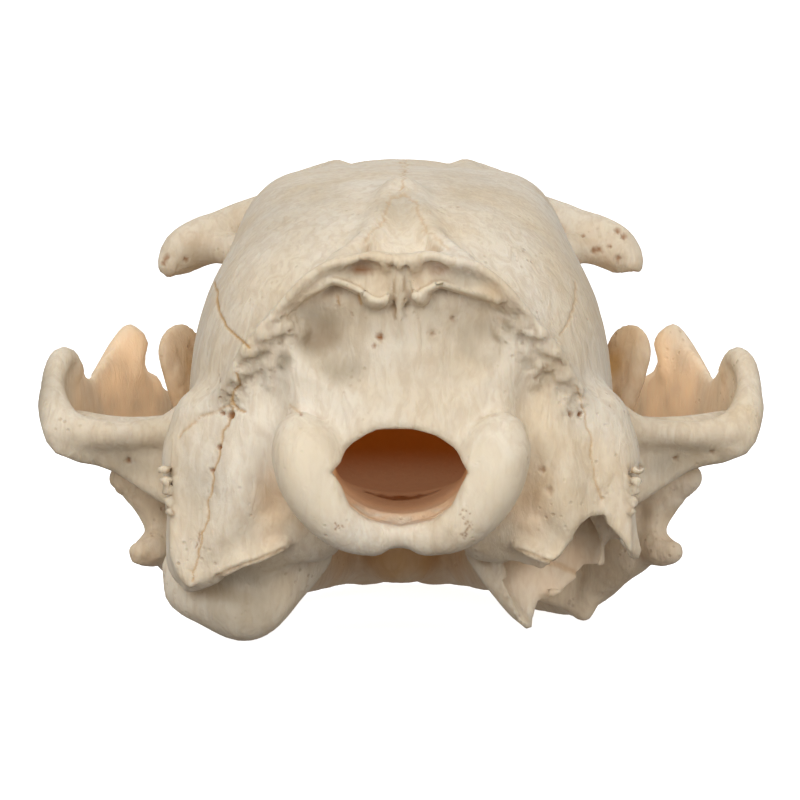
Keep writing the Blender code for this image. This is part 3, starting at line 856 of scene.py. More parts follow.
@dataclass
class Cranium:
    """The skull without its lower jaw: one grown bone."""

    grid: float = 0.45
    first_faces: int = 84000
    quick_faces: int = 60000
    body_faces: int = 165000
    most_faces: int = 194000
    brain: Point = (0.0, -31.0, 34.0)
    brain_radii: Point = (20.8, 29.5, 18.2)
    core: Line = (
        (-65.6, 8, 20.6, 28, 39.6, 2.4, 2.4), (-64.6, 13.2, 17.4, 27.5, 42, 2.4, 2.4),
        (-62.6, 17.2, 15.2, 27, 44.4, 2.4, 2.4), (-59, 20.6, 13.6, 26.2, 47, 2.4, 2.4),
        (-55, 22.7, 12.6, 25.8, 48.9, 2.4, 2.4), (-50, 24, 12, 25.5, 50.6, 2.4, 2.4),
        (-40, 24.5, 12.2, 25.5, 52.8, 2.4, 2.4), (-30, 24.2, 13.4, 25.5, 53.8, 2.4, 2.3),
        (-20, 21.6, 15.5, 29, 54.2, 2.5, 2.2), (-12, 18, 17.5, 33, 54.7, 2.4, 2.2),
        (-5, 15.8, 18.5, 36, 54.8, 2.5, 2.2), (2, 16.2, 17, 38, 54.8, 2.5, 2.2),
        (9, 18.4, 15.8, 37, 54, 2.5, 2.3), (16, 20.4, 15.4, 31, 51.6, 2.4, 2.6),
        (22, 20.6, 15.4, 26, 48.4, 2.3, 2.8), (29, 17.4, 15.4, 24.5, 45, 2.2, 2.8),
        (38, 14.8, 15.5, 24, 41.4, 2.2, 2.8), (48, 13.7, 15.6, 24, 38.3, 2.2, 2.8),
        (57, 13.2, 15.8, 23, 36, 2.2, 2.8), (62, 12.2, 15.8, 22.5, 34.6, 2.2, 2.6),
        (66, 10.6, 15.9, 21, 32, 2.2, 2.4), (68.6, 8.6, 16, 19.5, 26, 2.2, 2.2),
        (70.2, 6.6, 16.5, 18.4, 20.6, 2.2, 2.2),
    )
    shoulder: Line = (
        (-11.2, -2, 46.2, 5.8), (-11.4, -16, 46.6, 6.8), (-11.6, -30, 45.4, 6.8), (-11.2, -42, 42.6, 6.4),
    )
    arch_rim: Line = (
        (-38.7, -19.4, 29.9, 1.2), (-39.6, -21.2, 31.4, 1.35), (-40.5, -23.6, 30.6, 1.4),
        (-40.9, -26.2, 28.2, 1.4), (-40.5, -29, 25.4, 2), (-38.9, -31, 23.4, 2.2),
        (-35.6, -32.2, 22.9, 1.7), (-31.6, -32.6, 22.9, 1.6), (-27.5, -32.4, 23.2, 1.9),
        (-23.9, -32, 24, 3.2),
    )
    arch_wall: Line = (
        (-40.4, -23, 26.8, 4), (-39.2, -19, 26.3, 4.9), (-38.2, -15.5, 24.6, 4.9), (-37, -12, 24, 4.7),
        (-35.2, -6, 24.6, 6.2), (-33.2, -1.4, 25, 7.6), (-31.7, 1.6, 24.2, 6.2), (-30.2, 4.4, 22.8, 4.9),
        (-27.8, 9, 22, 4.4), (-24, 17, 22, 5.2), (-18, 23, 22.6, 6.6),
    )
    joint_plate: Line = (
        (-41.8, 23.8), (-41.5, 22), (-40.4, 20.5), (-37.8, 19.5), (-35.5, 19.1), (-33.6, 18.4),
        (-30.5, 16.5), (-27.8, 14.7), (-24.7, 14.7), (-24, 23.3), (-35.7, 23.1),
    )
    post: Line = (
        (-37.5, 28.7), (-37, 29.5), (-35.3, 32.3), (-34.1, 34.1), (-33.4, 34.8), (-32.7, 35), (-31.7, 34.5),
        (-30.3, 33.9), (-29.5, 33.1), (-29.4, 32.2), (-30.4, 31.2), (-30.9, 30.3), (-31, 28.9),
        (-32.7, 27.7), (-36.3, 27.7),
    )
    jaw_shelf: Line = (
        (-20, -28, 22, 4.6), (-27, -27.6, 21.8, 3.2), (-33, -27, 22.4, 2.4), (-38, -25, 23.2, 2.2),
    )
    brow: Line = (
        (-15.6, 4, 47.2, 3.6), (-18.8, 3.5, 46.4, 3.3), (-21.2, 2.6, 45.7, 3.1), (-23.8, 1.6, 45, 2.95),
        (-26.1, 0.6, 43.8, 2.7), (-27.8, -0.4, 42.3, 1.65),
    )
    temple_line: Line = (
        (-15, 2, 50.6, 1.6), (-8.2, -6, 53.4, 1.3), (-7.9, -14, 52.8, 1.1), (-6.1, -28, 51.8, 1),
        (-3, -42, 50.2, 1.1), (-1.5, -48, 49.7, 1.2),
    )
    triangle: Line = (
        (-0.1, -46, 51.3, 1.4), (-1.1, -49, 50.6, 1.5), (-1.7, -53, 48.9, 1.5), (-2.6, -57.5, 47.3, 1.4),
        (-4.3, -62, 45.6, 1.2), (-6.9, -66, 43.9, 0.9),
    )
    crest: Line = (
        (0.2, -65.8, 43.1, 2.5), (-1.5, -66.2, 43.6, 2.5), (-3.5, -66.4, 43.8, 2.5),
        (-5.5, -66.4, 43.3, 2.5), (-7.8, -66.2, 42.8, 2.5), (-10.6, -65.6, 40.9, 2.5),
        (-14, -64, 37.1, 2.5), (-17.1, -62, 33.1, 2.5), (-19.4, -59.6, 29.2, 2.5), (-21, -57.6, 26.8, 2.5),
        (-22.1, -55.6, 24, 2.5),
    )
    left_lip: Line = (
        (-12.7, -64.6, 38.4, 1.2), (-10.7, -65.2, 39.7, 1.4), (-9.3, -65.6, 40.5, 1.5),
        (-7.8, -66, 41.4, 1.6), (-6.3, -66.2, 41.1, 1.6), (-4.8, -66.3, 40.4, 1.6),
        (-3.5, -66.3, 39.5, 1.6), (-2.5, -66.3, 39.1, 1.7), (-1.6, -66.2, 39.5, 1.6),
        (-1.1, -66.2, 40.5, 1.5), (-0.9, -66.2, 42, 1.4), (-1, -66.2, 43.3, 1),
    )
    right_lip: Line = (
        (0.6, -66.2, 43.5, 1), (0.8, -66.2, 42, 1.4), (1.1, -66.2, 40.6, 1.5), (1.7, -66.3, 39.7, 1.7),
        (2.5, -66.3, 40.2, 1.6), (3.3, -66.3, 40.6, 1.6), (4.4, -66.2, 41.1, 1.6), (5.7, -66, 40.8, 1.6),
        (7.2, -65.8, 40.3, 1.5), (8.7, -65.4, 39.8, 1.4), (10, -64.8, 39.3, 1.2), (11.8, -64, 37.9, 1),
    )
    left_flap: Line = (
        (-11.4, 39.2), (-10.2, 40.6), (-8, 42.7), (-5.4, 43.6), (-3.3, 44), (-0.8, 43.8), (-0.9, 41.5),
        (-1.2, 40.3), (-1.8, 39.4), (-2.5, 39.2), (-3.5, 39.6), (-4.8, 40.5), (-6.3, 41.2), (-7.8, 41.5),
        (-9.3, 40.6),
    )
    right_flap: Line = (
        (0.5, 43.8), (1.7, 44.1), (3.5, 43.8), (6.6, 42.7), (9.6, 41.1), (11.8, 39.3), (10.9, 38.8),
        (8.7, 40), (6.6, 40.5), (4.4, 41.2), (3, 40.6), (1.7, 39.9), (1.1, 40.6), (0.7, 42),
    )
    condyle: Line = (
        (-11.4, -65.6, 23.7, 2.9), (-11.1, -66.4, 21.7, 3.5), (-10.3, -67, 18.6, 3.3),
        (-8.5, -67, 15.6, 2.9), (-6.1, -66.6, 13.5, 2.5), (-3.2, -65.9, 12.5, 2), (-0.2, -65.2, 12.9, 1.8),
    )
    wing: Line = (
        (-17.1, -58.5, 25.5, 3.6), (-17.7, -59.4, 19.9, 3.7), (-18.3, -59.4, 15.9, 3.4),
        (-20.5, -58.8, 11.9, 2.6), (-22.8, -58.2, 8.5, 1.5),
    )
    mastoid: Line = (
        (-21.6, -55.5, 24.8, 4.6), (-22.5, -56, 20.9, 4.7), (-22.3, -56.2, 16.3, 4.3),
        (-23.1, -56.4, 12.3, 3.7), (-24, -56.6, 9.3, 2.6), (-24, -57, 7.5, 1.3),
    )
    ear_edge: Line = (
        (-24, -58, 6.8, 0.9), (-21.3, -59, 7.8, 1), (-20.1, -59.6, 9.4, 1.1), (-16.4, -60.4, 13.2, 1.1),
        (-14.2, -60.4, 14, 0.9), (-11.7, -59.6, 13.3, 0.7),
    )
    fold: Line = (
        (-20, -60.6, 8.5, 0.6), (-18.2, -61.2, 9.4, 0.6), (-15.7, -61.4, 10.2, 0.6),
        (-13.2, -61, 11.3, 0.45),
    )
    ear_plate: Line = (
        (-25.8, 19.3), (-26.3, 14.2), (-26.3, 10.2), (-25.3, 7.7), (-24.1, 6.4), (-22.7, 7), (-21.3, 7.5),
        (-20.2, 8.9), (-18.2, 10.9), (-16.3, 12.9), (-14.8, 13.6), (-15.7, 16.5), (-18.2, 19.9),
        (-22.8, 22.2),
    )
    flange: Line = (
        (-21.2, 8.1), (-19.8, 9.5), (-18.2, 11.1), (-16.2, 12.2), (-14.2, 12.4), (-12.7, 11.9),
        (-13.3, 10.9), (-15.1, 10), (-17.1, 9.2), (-18.9, 8.6),
    )
    foramen: Line = (
        (-8, 20), (-6.7, 21.1), (-5.4, 22.9), (-3.9, 24), (-2.6, 24.7), (1.5, 24.7), (4, 23.7), (6.1, 21.9),
        (7.7, 20), (6.7, 18.5), (5.7, 16.2), (3.8, 14.7), (1.9, 14.2), (-0.1, 13.8), (-2.1, 14.2),
        (-3.9, 14.7), (-5.8, 16.2), (-6.7, 18.5),
    )
    capsule: Point = (-17.6, -40.6, 10.9)
    capsule_radii: Point = (9.3, 16.8, 8.8)
    capsule_wall: float = 0.9
    capsule_keel: Line = (
        (-23.4, -48.6, 11, 3), (-24.4, -51.4, 6, 2.55), (-21.6, -53.2, 4.3, 2.7), (-18.2, -53.6, 3, 2.9),
        (-15.9, -53.2, 3.7, 2.8), (-13.8, -52.2, 6.4, 3), (-11, -50, 10.2, 3.2),
    )
    capsule_nose: Line = ((-15, -32, 10, 4.5), (-11, -20, 13.5, 3), (-8, -12, 16.5, 2.2))
    break_behind: Line = (
        (23.3, 13.8), (23.3, 14.6), (22.6, 14.9), (22, 14.6), (21.3, 14.7), (20.9, 14.2), (20.4, 14),
        (20, 13.3), (19.4, 12.7), (19.5, 12.2), (18.7, 11.2), (18.1, 10.3), (17.1, 9.4), (16.1, 8.6),
        (14.6, 9), (12.9, 9.5), (11.8, 9.6), (11.7, 8.7), (12.4, 7.7), (11.6, 7.1), (12.6, 5), (13.7, 2.5),
        (14.3, 1.9), (15.8, -1), (27.5, -1), (27.5, 8.4), (26.5, 9.7), (25.8, 10.8), (25.1, 11.9),
        (24.2, 12.9),
    )
    break_inside: Line = (
        (14.4, -1.5), (14.6, 0.7), (15.1, 2), (15.2, 2.9), (15.5, 4.3), (16, 4.8), (16.8, 4.7), (17.6, 5.2),
        (18.3, 5.6), (19.1, 6.4), (20, 7), (20.3, 7.9), (21, 8.7), (22.1, 8.6), (23.3, 8.7), (23.3, 10.5),
        (23.7, 11.6), (24.7, 11.8), (25.6, 10.6), (26.4, 9.1), (27.3, 8.7), (30, 8.7), (30, -1.5),
    )
    plate_side: Line = (
        (-12.3, -66.4, 38.6, 1.6), (-10.5, -66.2, 36.8, 2.6), (-8, -66.6, 34.2, 3.1),
        (-5.5, -68.2, 31.3, 2.6),
    )
    midline: Line = (
        (-0.2, -66.8, 43.6, 0.3), (-0.2, -67.1, 42, 0.5), (-0.2, -66.6, 39.4, 0.5),
        (-0.1, -65.4, 35.2, 0.4),
    )
    valley: Line = (
        (-15.4, -66, 25.8, 2), (-15.6, -66.6, 21.8, 2.7), (-14.7, -66.4, 17.5, 2.4),
        (-12.7, -65.6, 14.5, 1.5),
    )
    condyle_groove: Line = (
        (-14.1, -65, 24.8, 0.9), (-14.8, -65.2, 21.7, 1), (-13.7, -65, 17.6, 0.9),
        (-11.2, -64.8, 13.7, 0.8), (-8, -64.2, 10.9, 0.7),
    )
    condyle_inside: Line = (
        (-9.6, -66, 22.9, 2.5), (-8.4, -66.8, 20.2, 2.3), (-7.5, -66.8, 16.8, 2.1),
        (-5.5, -66.3, 14.4, 1.8), (-2.6, -65.6, 13, 1.6),
    )
    capsule_corner: Line = (
        (-25.9, -50.6, 8.5, 1.5), (-25.5, -50.8, 6.3, 1.5), (-25.4, -51, 5.2, 1.4),
        (-24.1, -51.6, 4.4, 1.2), (-22.5, -52, 3.3, 1.2),
    )
    break_rim: Line = (
        (8.3, -53, 10.2, 1), (10.4, -53, 6.8, 0.9), (12.4, -52.6, 4.2, 0.8), (14.2, -52.2, 2.2, 0.5),
    )
    cheek_canal: Line = (
        (-17.4, 38.6, 25, 1.6), (-14.4, 35, 25.4, 1.4), (-12.2, 30.6, 26, 1.1), (-11.6, 27.6, 26.4, 0.9),
    )
    # Blend and knots of the grooves beside the midline and of the pockets in the crest.
    crest_grooves: tuple[tuple[float, Line], ...] = (
        (0.35, ((-0.9, -68.2, 43.2, 0.4), (-0.8, -67.5, 41.6, 0.5), (-0.9, -67, 39.5, 0.6),
                (-1.3, -66.4, 38.2, 0.6))),
        (0.35, ((0.5, -68.2, 43.2, 0.4), (0.6, -67.5, 41.6, 0.5), (0.9, -67, 39.6, 0.6),
                (1.3, -66.4, 38.5, 0.6))),
        (0.5, ((-5.7, -67.6, 42.8, 0.6), (-4.3, -67.5, 43, 1.1), (-3.1, -67.6, 43, 0.8))),
        (0.5, ((3.3, -67.6, 43, 0.8), (4.2, -67.5, 42.6, 0.9), (5.5, -67.6, 41.9, 0.5))),
    )
    knobs: tuple[Line, ...] = (
        ((-15.7, -65.6, 35.2, 0.5), (-14.3, -65, 36, 0.9), (-13, -64.3, 36.2, 1), (-11.7, -63.4, 35.4, 0.7)),
        ((-15.7, -63.6, 33.6, 0.4), (-14.7, -63.5, 33.4, 0.7), (-14.8, -63.2, 31.8, 0.6),
         (-15, -62.3, 29.7, 0.4)),
        ((-17.2, -64.6, 33.2, 0.5), (-16.1, -64.2, 34.1, 0.7), (-15, -64, 34.7, 0.7)),
        ((-17.5, -63, 31.5, 0.4), (-16.1, -63, 32.1, 0.6), (-15.2, -63, 32.2, 0.4)),
        ((-12.7, -63.8, 34.3, 0.6), (-11.8, -63.6, 33.1, 0.5), (-11.4, -64.2, 31.1, 0.4)),
        ((-10.9, -63.4, 36.7, 0.4), (-11.4, -63.4, 35.8, 0.7)),
        ((-18.4, -62.6, 30.4, 0.5), (-17.3, -62, 29.7, 0.5), (-16.8, -61.8, 27.9, 0.4)),
    )
    tongue: Line = (
        (22.6, 15.2), (23.4, 14.2), (24.3, 13.6), (25, 12.7), (25.5, 11.4), (26, 10.3), (26.5, 9.7),
        (27, 9.7), (27.4, 10.6), (27, 12.2), (26.5, 14.2), (25.9, 16.4), (24.2, 16.9),
    )

    def grow(self) -> BoneField:
        """Melts the whole bone together and takes its hollows out."""
        bone = BoneField((-44.5, -73.0, -1.0), (44.5, 72.5, 57.0), self.grid)
        bone.add(Trunk(self.core))
        bone.add(*limbs(self.shoulder), blend=3.0)
        self._cheeks(bone)
        self._under(bone)
        self._back(bone)
        self._hollows(bone)
        self._broken_capsule(bone)
        self._snout(bone)
        return bone

    def _back(self, bone: BoneField) -> None:
        """The nuchal crest, the plate under it and the two neck condyles."""
        bone.add(Lump((0, -59.6, 23), (10.6, 8.2, 7.8)), blend=3.0)
        bone.cut(*lumps((-7.6, -70.2, 35.2), (7, 6.4, 5), (0, 0, 8)), blend=2.4)
        bone.cut(*limbs(self.plate_side), blend=2.4)
        bone.cut(*lumps((-15.8, -66.4, 27.6), (3.6, 4.6, 6)), blend=2.4)
        bone.add(*limbs(self.temple_line), blend=1.8)
        bone.add(*limbs(self.triangle), blend=1.8)
        bone.add(*limbs(self.crest, flat=3.0, up=(-0.22, -0.95, 0.2)), blend=1.5)
        for flap in (self.left_flap, self.right_flap):
            bone.add(Sheet(flap, -67.1, -60, soft=0.4), blend=0.5)
        for lip in (self.left_lip, self.right_lip):
            bone.add(Limb(lip, flat=3.4, up=(0, -1, 0.1)), blend=0.35)
        for blend, knots in self.crest_grooves:
            bone.cut(Limb(knots), blend=blend)
        bone.add(Limb(self.midline), blend=0.4)
        bone.add(*limbs(self.mastoid), blend=2.2)
        bone.add(*limbs(self.wing), blend=2.0)
        bone.add(*limbs(self.ear_edge), blend=0.5)
        bone.add(*limbs(((-15.8, -56, 10.8, 2.4), (-13.1, -56.6, 12, 3), (-9.9, -56.6, 12.7, 3.4))),
                 blend=2.0)
        bone.add(*limbs(((-15.3, -58.4, 16.4, 2.4), (-13.7, -58.2, 15, 2.6), (-11.7, -58, 13.7, 2.8))),
                 blend=1.8)
        bone.add(*sheets(self.ear_plate, -60.3, -55, 0.7), blend=0.5)
        bone.add(*sheets(self.flange, -61.2, -56, 1.1), blend=1.1)
        bone.add(*limbs(self.fold), blend=0.9)
        bone.cut(*limbs(self.valley), blend=2.2)
        bone.cut(*limbs(self.condyle_groove), blend=0.8)
        bone.add(*limbs(self.condyle), blend=0.9)
        bone.add(*limbs(self.condyle_inside), blend=1.6)
        bone.cut(Lump((-0.2, -66.4, 10.4), (1.8, 3, 1)), blend=0.7)
        for knots in self.knobs:
            bone.add(*limbs(knots), blend=1.1)
        bone.cut(*limbs(((-27, -60.8, 20.4, 0.8), (-26.6, -60.8, 17.6, 0.9), (-26.3, -60.8, 14.8, 0.8))),
                 blend=0.4)
        for share in np.linspace(0.0, 1.0, 5):
            place = (-26.9 + 0.8 * float(share), -60.0, 19.9 - 4.7 * float(share))
            bone.add(*lumps(place, (0.85 - 0.15 * float(share), 1.0, 0.5)), blend=0.1)

    def _cheeks(self, bone: BoneField) -> None:
        """The cheek arches, the jaw joints' shelves and the brow processes."""
        bone.add(*limbs(self.arch_wall, flat=4.4), blend=1.4)
        bone.add(*sheets(self.post, -2.9, 0.9, 1.1), blend=1.2)
        bone.cut(*lumps((-29.2, 2, 30), (1.9, 5, 2)), blend=0.3)
        bone.add(*limbs(self.jaw_shelf), blend=1.8)
        bone.add(*lumps((-36.4, -28.2, 22.2), (3.8, 3.4, 1.7)), blend=1.2)
        bone.add(*sheets(self.joint_plate, -32.6, -29.4, 0.8), blend=1.2)
        bone.cut(*lumps((-34, -33.6, 18.9), (5.4, 1.8, 2.3), (0, 14, 0)), blend=0.8)
        bone.cut(*limbs(((-35.2, -34, 20.5, 0.5), (-32.5, -34, 21, 0.7), (-27.2, -34, 21.6, 0.8))), blend=0.7)
        bone.add(*limbs(self.arch_rim), blend=0.9)

    def _under(self, bone: BoneField) -> None:
        """The skull's floor with the ear capsules and the palate's edges."""
        bone.add(*lumps(self.capsule, self.capsule_radii), blend=1.5)
        bone.add(*limbs(self.capsule_keel), blend=2.0)
        bone.add(*limbs(self.capsule_nose), blend=2.2)
        bone.add(Limb(self.capsule_corner), blend=0.7)
        bone.add(Limb(((0, -62, 15, 3.6), (0, -40, 15.4, 4.4), (0, -16, 18, 4.6))), blend=2.0)
        bone.add(*limbs(((-6.2, 6, 18, 4), (-6.4, -4, 17.6, 4), (-6.8, -12, 15.6, 2.4)), flat=2.6), blend=1.2)
        bone.add(*limbs(((-20.6, 17, 18, 3), (-15.6, 34, 17.6, 3), (-12.6, 52, 17.6, 2.8))), blend=2.0)

    def _hollows(self, bone: BoneField) -> None:
        """The braincase, the foramen, the eye sockets, nose and throat."""
        bone.cut(Lump(self.brain, self.brain_radii), blend=1.2)
        bone.cut(*lumps((-26.4, 12.8, 38), (13.4, 11.4, 10.4)), blend=1.6)
        bone.cut(*lumps((-23, -1.4, 34), (7.4, 11.6, 10.4)), blend=2.0)
        bone.add(*limbs(self.brow), blend=1.6)
        bone.add(*limbs(((-19.9, -2, 43.9, 2), (-22.6, -0.6, 43.8, 1.4))), blend=1.6)
        bone.cut(Lump((28.1, 0, 40.1), (2.6, 5, 1.1), (0, -6, 0)), blend=0.6)
        bone.cut(Lump((30.7, 0, 42.4), (1.4, 5, 3)), blend=0.6)
        bone.cut(Lump((0, 69.6, 28.4), (6.6, 8.6, 7.4)), blend=0.8)
        bone.cut(Lump((0, -6, 14.6), (4.4, 13, 4.6)), blend=1.0)
        bone.cut(Lump((0, 36, 11.2), (10, 34, 6)), blend=1.6)
        bone.cut(Sheet(self.foramen, -76, -60), blend=0.5)
        bone.cut(Limb(((0, -64, 19.8, 7.4), (0, -44, 20.6, 7.6)), flat=1.46, up=(1, 0, 0)), blend=1.0)
        bone.cut(*lumps((-10.6, 63, 14.6), (3.2, 2.6, 3.4)), blend=0.8)

    def _broken_capsule(self, bone: BoneField) -> None:
        """Empties the right ear capsule and breaks its thin wall away."""
        wall = self.capsule_wall
        inside = tuple(radius - wall for radius in self.capsule_radii)
        bone.cut(Lump(flip([self.capsule])[0], inside), blend=0.3)
        keel = [(-x, y, z, radius - wall) for x, y, z, radius in self.capsule_keel]
        bone.cut(Limb(keel), blend=0.4)
        bone.add(Lump((17.4, -50, 10.8), (8.9, 0.7, 8.4), (-8, 0, 10)), blend=0.5)
        bone.add(Limb(self.break_rim), blend=0.5)
        bone.cut(Sheet(self.break_behind, -64, -53.5), blend=0.15)
        bone.cut(Sheet(self.break_inside, -54, -24), blend=0.15)
        bone.add(Sheet(self.tongue, -58.6, -56.6, soft=0.6), blend=0.6)

    def _snout(self, bone: BoneField) -> None:
        """The nose's passages, the small nerve holes and the tooth sockets."""
        bone.cut(*limbs(((-3, 66, 28.6, 2.6), (-3.2, 50, 28, 2.4), (-3.2, 34, 27, 2))), blend=0.6)
        bone.cut(*limbs(self.cheek_canal), blend=0.7)
        bone.cut(*lumps((-2.6, 58.6, 16), (1.3, 3.2, 3)), blend=0.4)
        bone.cut(*lumps((-27.8, -36, 12.2), (4.6, 2.4, 2), (0, 0, 10)), blend=0.5)
        bone.cut(*limbs(((-13.6, 3, 26, 1.1), (-8, -4, 27, 1))), blend=0.4)
        for tooth in UPPER_TEETH:
            bone.cut(tooth.socket(), blend=0.3)

    def marks(self) -> list[Mark]:
        """The cracks, sutures and fine ridges."""
        lines = [
            Mark(((-21, 41.4), (-20.6, 40.3), (-20.6, 39), (-20.2, 37.6), (-19.5, 36.2), (-18.8, 35.6),
                  (-17.9, 34.9), (-17, 34.1)), 0.12, 0.16, 0.8, 0.1, far_y=-12),
            Mark(((-18.4, 31.3), (-18, 30), (-18.8, 29.1), (-19, 28), (-18.3, 27.2), (-17.6, 26.9)),
                 0.14, 0.3, 0.65, 0.14),
            Mark(((-18.8, 27.3), (-19.3, 25.5), (-19.9, 24.7), (-20.2, 23), (-20.5, 21.2), (-21, 20.2),
                  (-21.1, 18.4), (-21.6, 17), (-21.7, 14.7), (-22.3, 13.3), (-22.5, 11.6), (-23.1, 9.7),
                  (-23.4, 7.7)), 0.11, 0.16, 0.62, 0.14),
            Mark(((-22.6, 13.3), (-22.7, 12.4), (-23, 11.5)), 0.07, 0.2, 0.6, 0.05, layer=Layer.PIT_AND_SHADE),
            Mark(((-19, 27.7), (-20.8, 26.8), (-22.5, 26.3), (-24.1, 25), (-25, 24)),
                 0.14, 0.15, 0.4, 0.15),
            Mark(((19.7, 29.5), (20.5, 27.1), (20.7, 25.4), (21.4, 23.7), (21.2, 22), (21.6, 20.3),
                  (21.8, 18.7), (22.6, 17)), 0.11, 0.14, 0.42, 0.15),
            Mark(((19.5, 41.3), (19.6, 39.4), (18.9, 37.4), (17.8, 35.5)),
                 0.13, 0.1, 0.35, 0.15, far_y=-12),
            Mark(((0.6, 55.6), (0.4, 53.9), (0.2, 52.6), (0.1, 51.7)), 0.12, 0.15, 0.45, 0.35, far_y=20.0),
            Mark(((0.1, 51.3), (-1.3, 50.6), (-1.8, 49), (-2.5, 47.7), (-4.1, 45.8)), 0.16, 0.12, 0.3, 0.3),
            Mark(((0.3, 51.3), (1.7, 50.6), (2, 48.8), (3.2, 46.9), (5.3, 45.3)), 0.16, 0.12, 0.3, 0.3),
            Mark(((-7.1, 39.8), (-6.9, 38.8)), 0.16, 0.1, 0.5, 0.05),
            Mark(((-4.7, 40), (-4.5, 38.9)), 0.14, 0.1, 0.6, 0.05),
            Mark(((-12.4, 27.6), (-11.4, 26.8)), 0.12, 0.08, 0.4, 0.05),
            Mark(((-9.9, 25.1), (-8.2, 23.2), (-7.6, 20.3), (-7.1, 16.4), (-5.5, 13.8)),
                 0.3, -0.12, 0, 0.15),
            Mark(((9.7, 25.1), (8.1, 23.2), (7.6, 20.3), (6.9, 16.4), (5.5, 13.8)), 0.3, -0.12, 0, 0.15),
            Mark(((0, -46, 52), (0, -20, 54.6), (0, 10, 54.4), (0, 30, 45), (0, 66, 32.4)),
                 0.14, 0.22, 0.5, 0.35),
        ]
        rims = (
            ((-11.3, 39.4), (-9.3, 40.7), (-7.7, 41.6), (-6.3, 41.3), (-4.8, 40.6), (-3.5, 39.7),
             (-2.4, 39.3), (-1.6, 39.7), (-1.1, 40.9), (-1, 42.7)),
            ((0.7, 43), (0.8, 41.8), (1.1, 40.7), (1.7, 39.9), (2.4, 40.4), (3.2, 40.8), (4.4, 41.3),
             (6.6, 40.6), (8.6, 40.1), (10, 39.5)),
        )
        lines += [Mark(rim, 0.2, -0.1, 0.75, 0.06, layer=Layer.POLISH) for rim in rims]
        # Path, width, depth, tint and wander of what both sides have, given for the right.
        sutures = (
            (((20.7, 8.3), (19.6, 8.8), (17.8, 9.6), (15.6, 10.4), (13.1, 11.4)), 0.22, 0.3, 0.3, 0.1),
            (((1, 22, 48.4), (7, 20, 48), (14, 21, 43), (15.4, 27, 38)), 0.13, 0.18, 0.45, 0.5),
            (((6, 24, 47), (8.2, 40, 39.6), (7.8, 56, 34.6), (6.4, 67, 29)), 0.13, 0.18, 0.45, 0.4),
            (((8, 57, 34.6), (12.8, 55, 28), (13, 52, 20), (11.8, 53, 16.4)), 0.13, 0.18, 0.45, 0.45),
            (((0.4, -4, 54.8), (7, -2, 54.2), (13, -6, 47), (16.6, -10, 36), (19, -18, 28)),
             0.13, 0.18, 0.4, 0.5),
            (((23.4, -14, 27), (22.8, -26, 36), (22.2, -40, 38.4), (21.6, -50, 34)), 0.13, 0.2, 0.4, 0.4),
            (((39.6, -16, 31), (41.2, -13, 25), (39.4, -8, 21.6)), 0.13, 0.2, 0.5, 0.35),
            (((33, 6, 29), (31, 9, 23), (26, 13, 18)), 0.13, 0.2, 0.45, 0.4),
            (((0, 6, 16.4), (0, 30, 16.4), (0, 66, 16.4)), 0.13, 0.2, 0.45, 0.3),
        )
        for mirror in (flip, tuple):
            lines += [Mark(mirror(path), *values) for path, *values in sutures]
        return lines

    def pits(self) -> list[Pit]:
        """The nerve and blood vessel holes and the small dents of the back."""
        # Place, radius, depth and tint.
        behind = (
            ((-2.4, 35.2), 0.42, 0.5, 1), ((-3, 34.3), 0.26, 0.3, 0.7), ((3.5, 35.6), 0.26, 0.5, 0.5),
            ((5.8, 37.3), 0.24, 0.5, 0.6), ((-11.2, 26.6), 0.2, 0.15, 0.6), ((15.2, 30.8), 0.3, 0.6, 0.6),
            ((15.9, 20.3), 0.34, 0.6, 0.7), ((16.6, 18), 0.4, 0.5, 0.4), ((20.1, 26.6), 0.3, 0.7, 0.9),
            ((19, 26.7), 0.34, 0.7, 0.8), ((-19.1, 26.5), 0.45, 0.8, 0.9), ((-20, 26.7), 0.3, 0.5, 0.8),
            ((-20.4, 22.9), 0.3, 0.5, 0.9), ((-21.2, 20.3), 0.26, 0.5, 0.8), ((0.2, 23.8), 0.2, 0.2, 0.4),
        )
        arches = (
            ((-30.6, 21.3), 0.34, 0.8, 0.9), ((26.8, 20.7), 0.26, 0.5, 0.6), ((34.8, 22.3), 0.24, 0.4, 0.5),
            ((30.8, 21.6), 0.26, 0.5, 0.6),
        )
        spots = [Pit(*values) for values in behind]
        spots += [Pit(*values, far_y=-20) for values in arches]
        grit = np.random.default_rng(5)
        for x, z, spread, count in ((7.2, 15.3, 0.8, 6), (7.8, 14.2, 0.7, 9), (7.2, 12.9, 0.7, 8),
                                    (-6.9, 14.1, 0.9, 6)):
            for _ in range(count):
                dx, dz = grit.normal(0.0, spread * 0.4, 2)
                spots.append(Pit((x + dx, z + dz), float(grit.uniform(0.09, 0.18)), 0.1, 0.6))
        # Across, up and radius of the small holes in the brow processes.
        brows = (
            (-26.4, 44.1, 0.4), (-26.7, 43.5, 0.3), (-24.1, 44, 0.26), (24.3, 47.2, 0.36), (25, 46.6, 0.36),
            (21.7, 44.9, 0.4), (22.3, 45, 0.3), (24.3, 44, 0.36), (20.4, 46.6, 0.2), (23.4, 45.4, 0.2),
        )
        spots += [Pit((x, z), radius, 0.4, 0.8, -20, 10) for x, z, radius in brows]
        spots += [Pit((side * 12.4, 45, 26), 0.55, 0.7, 0.85) for side in (-1, 1)]
        return spots

    def zones(self) -> list[Zone]:
        """The rough, the stained and the polished parts, and where shade and warm light are painted."""
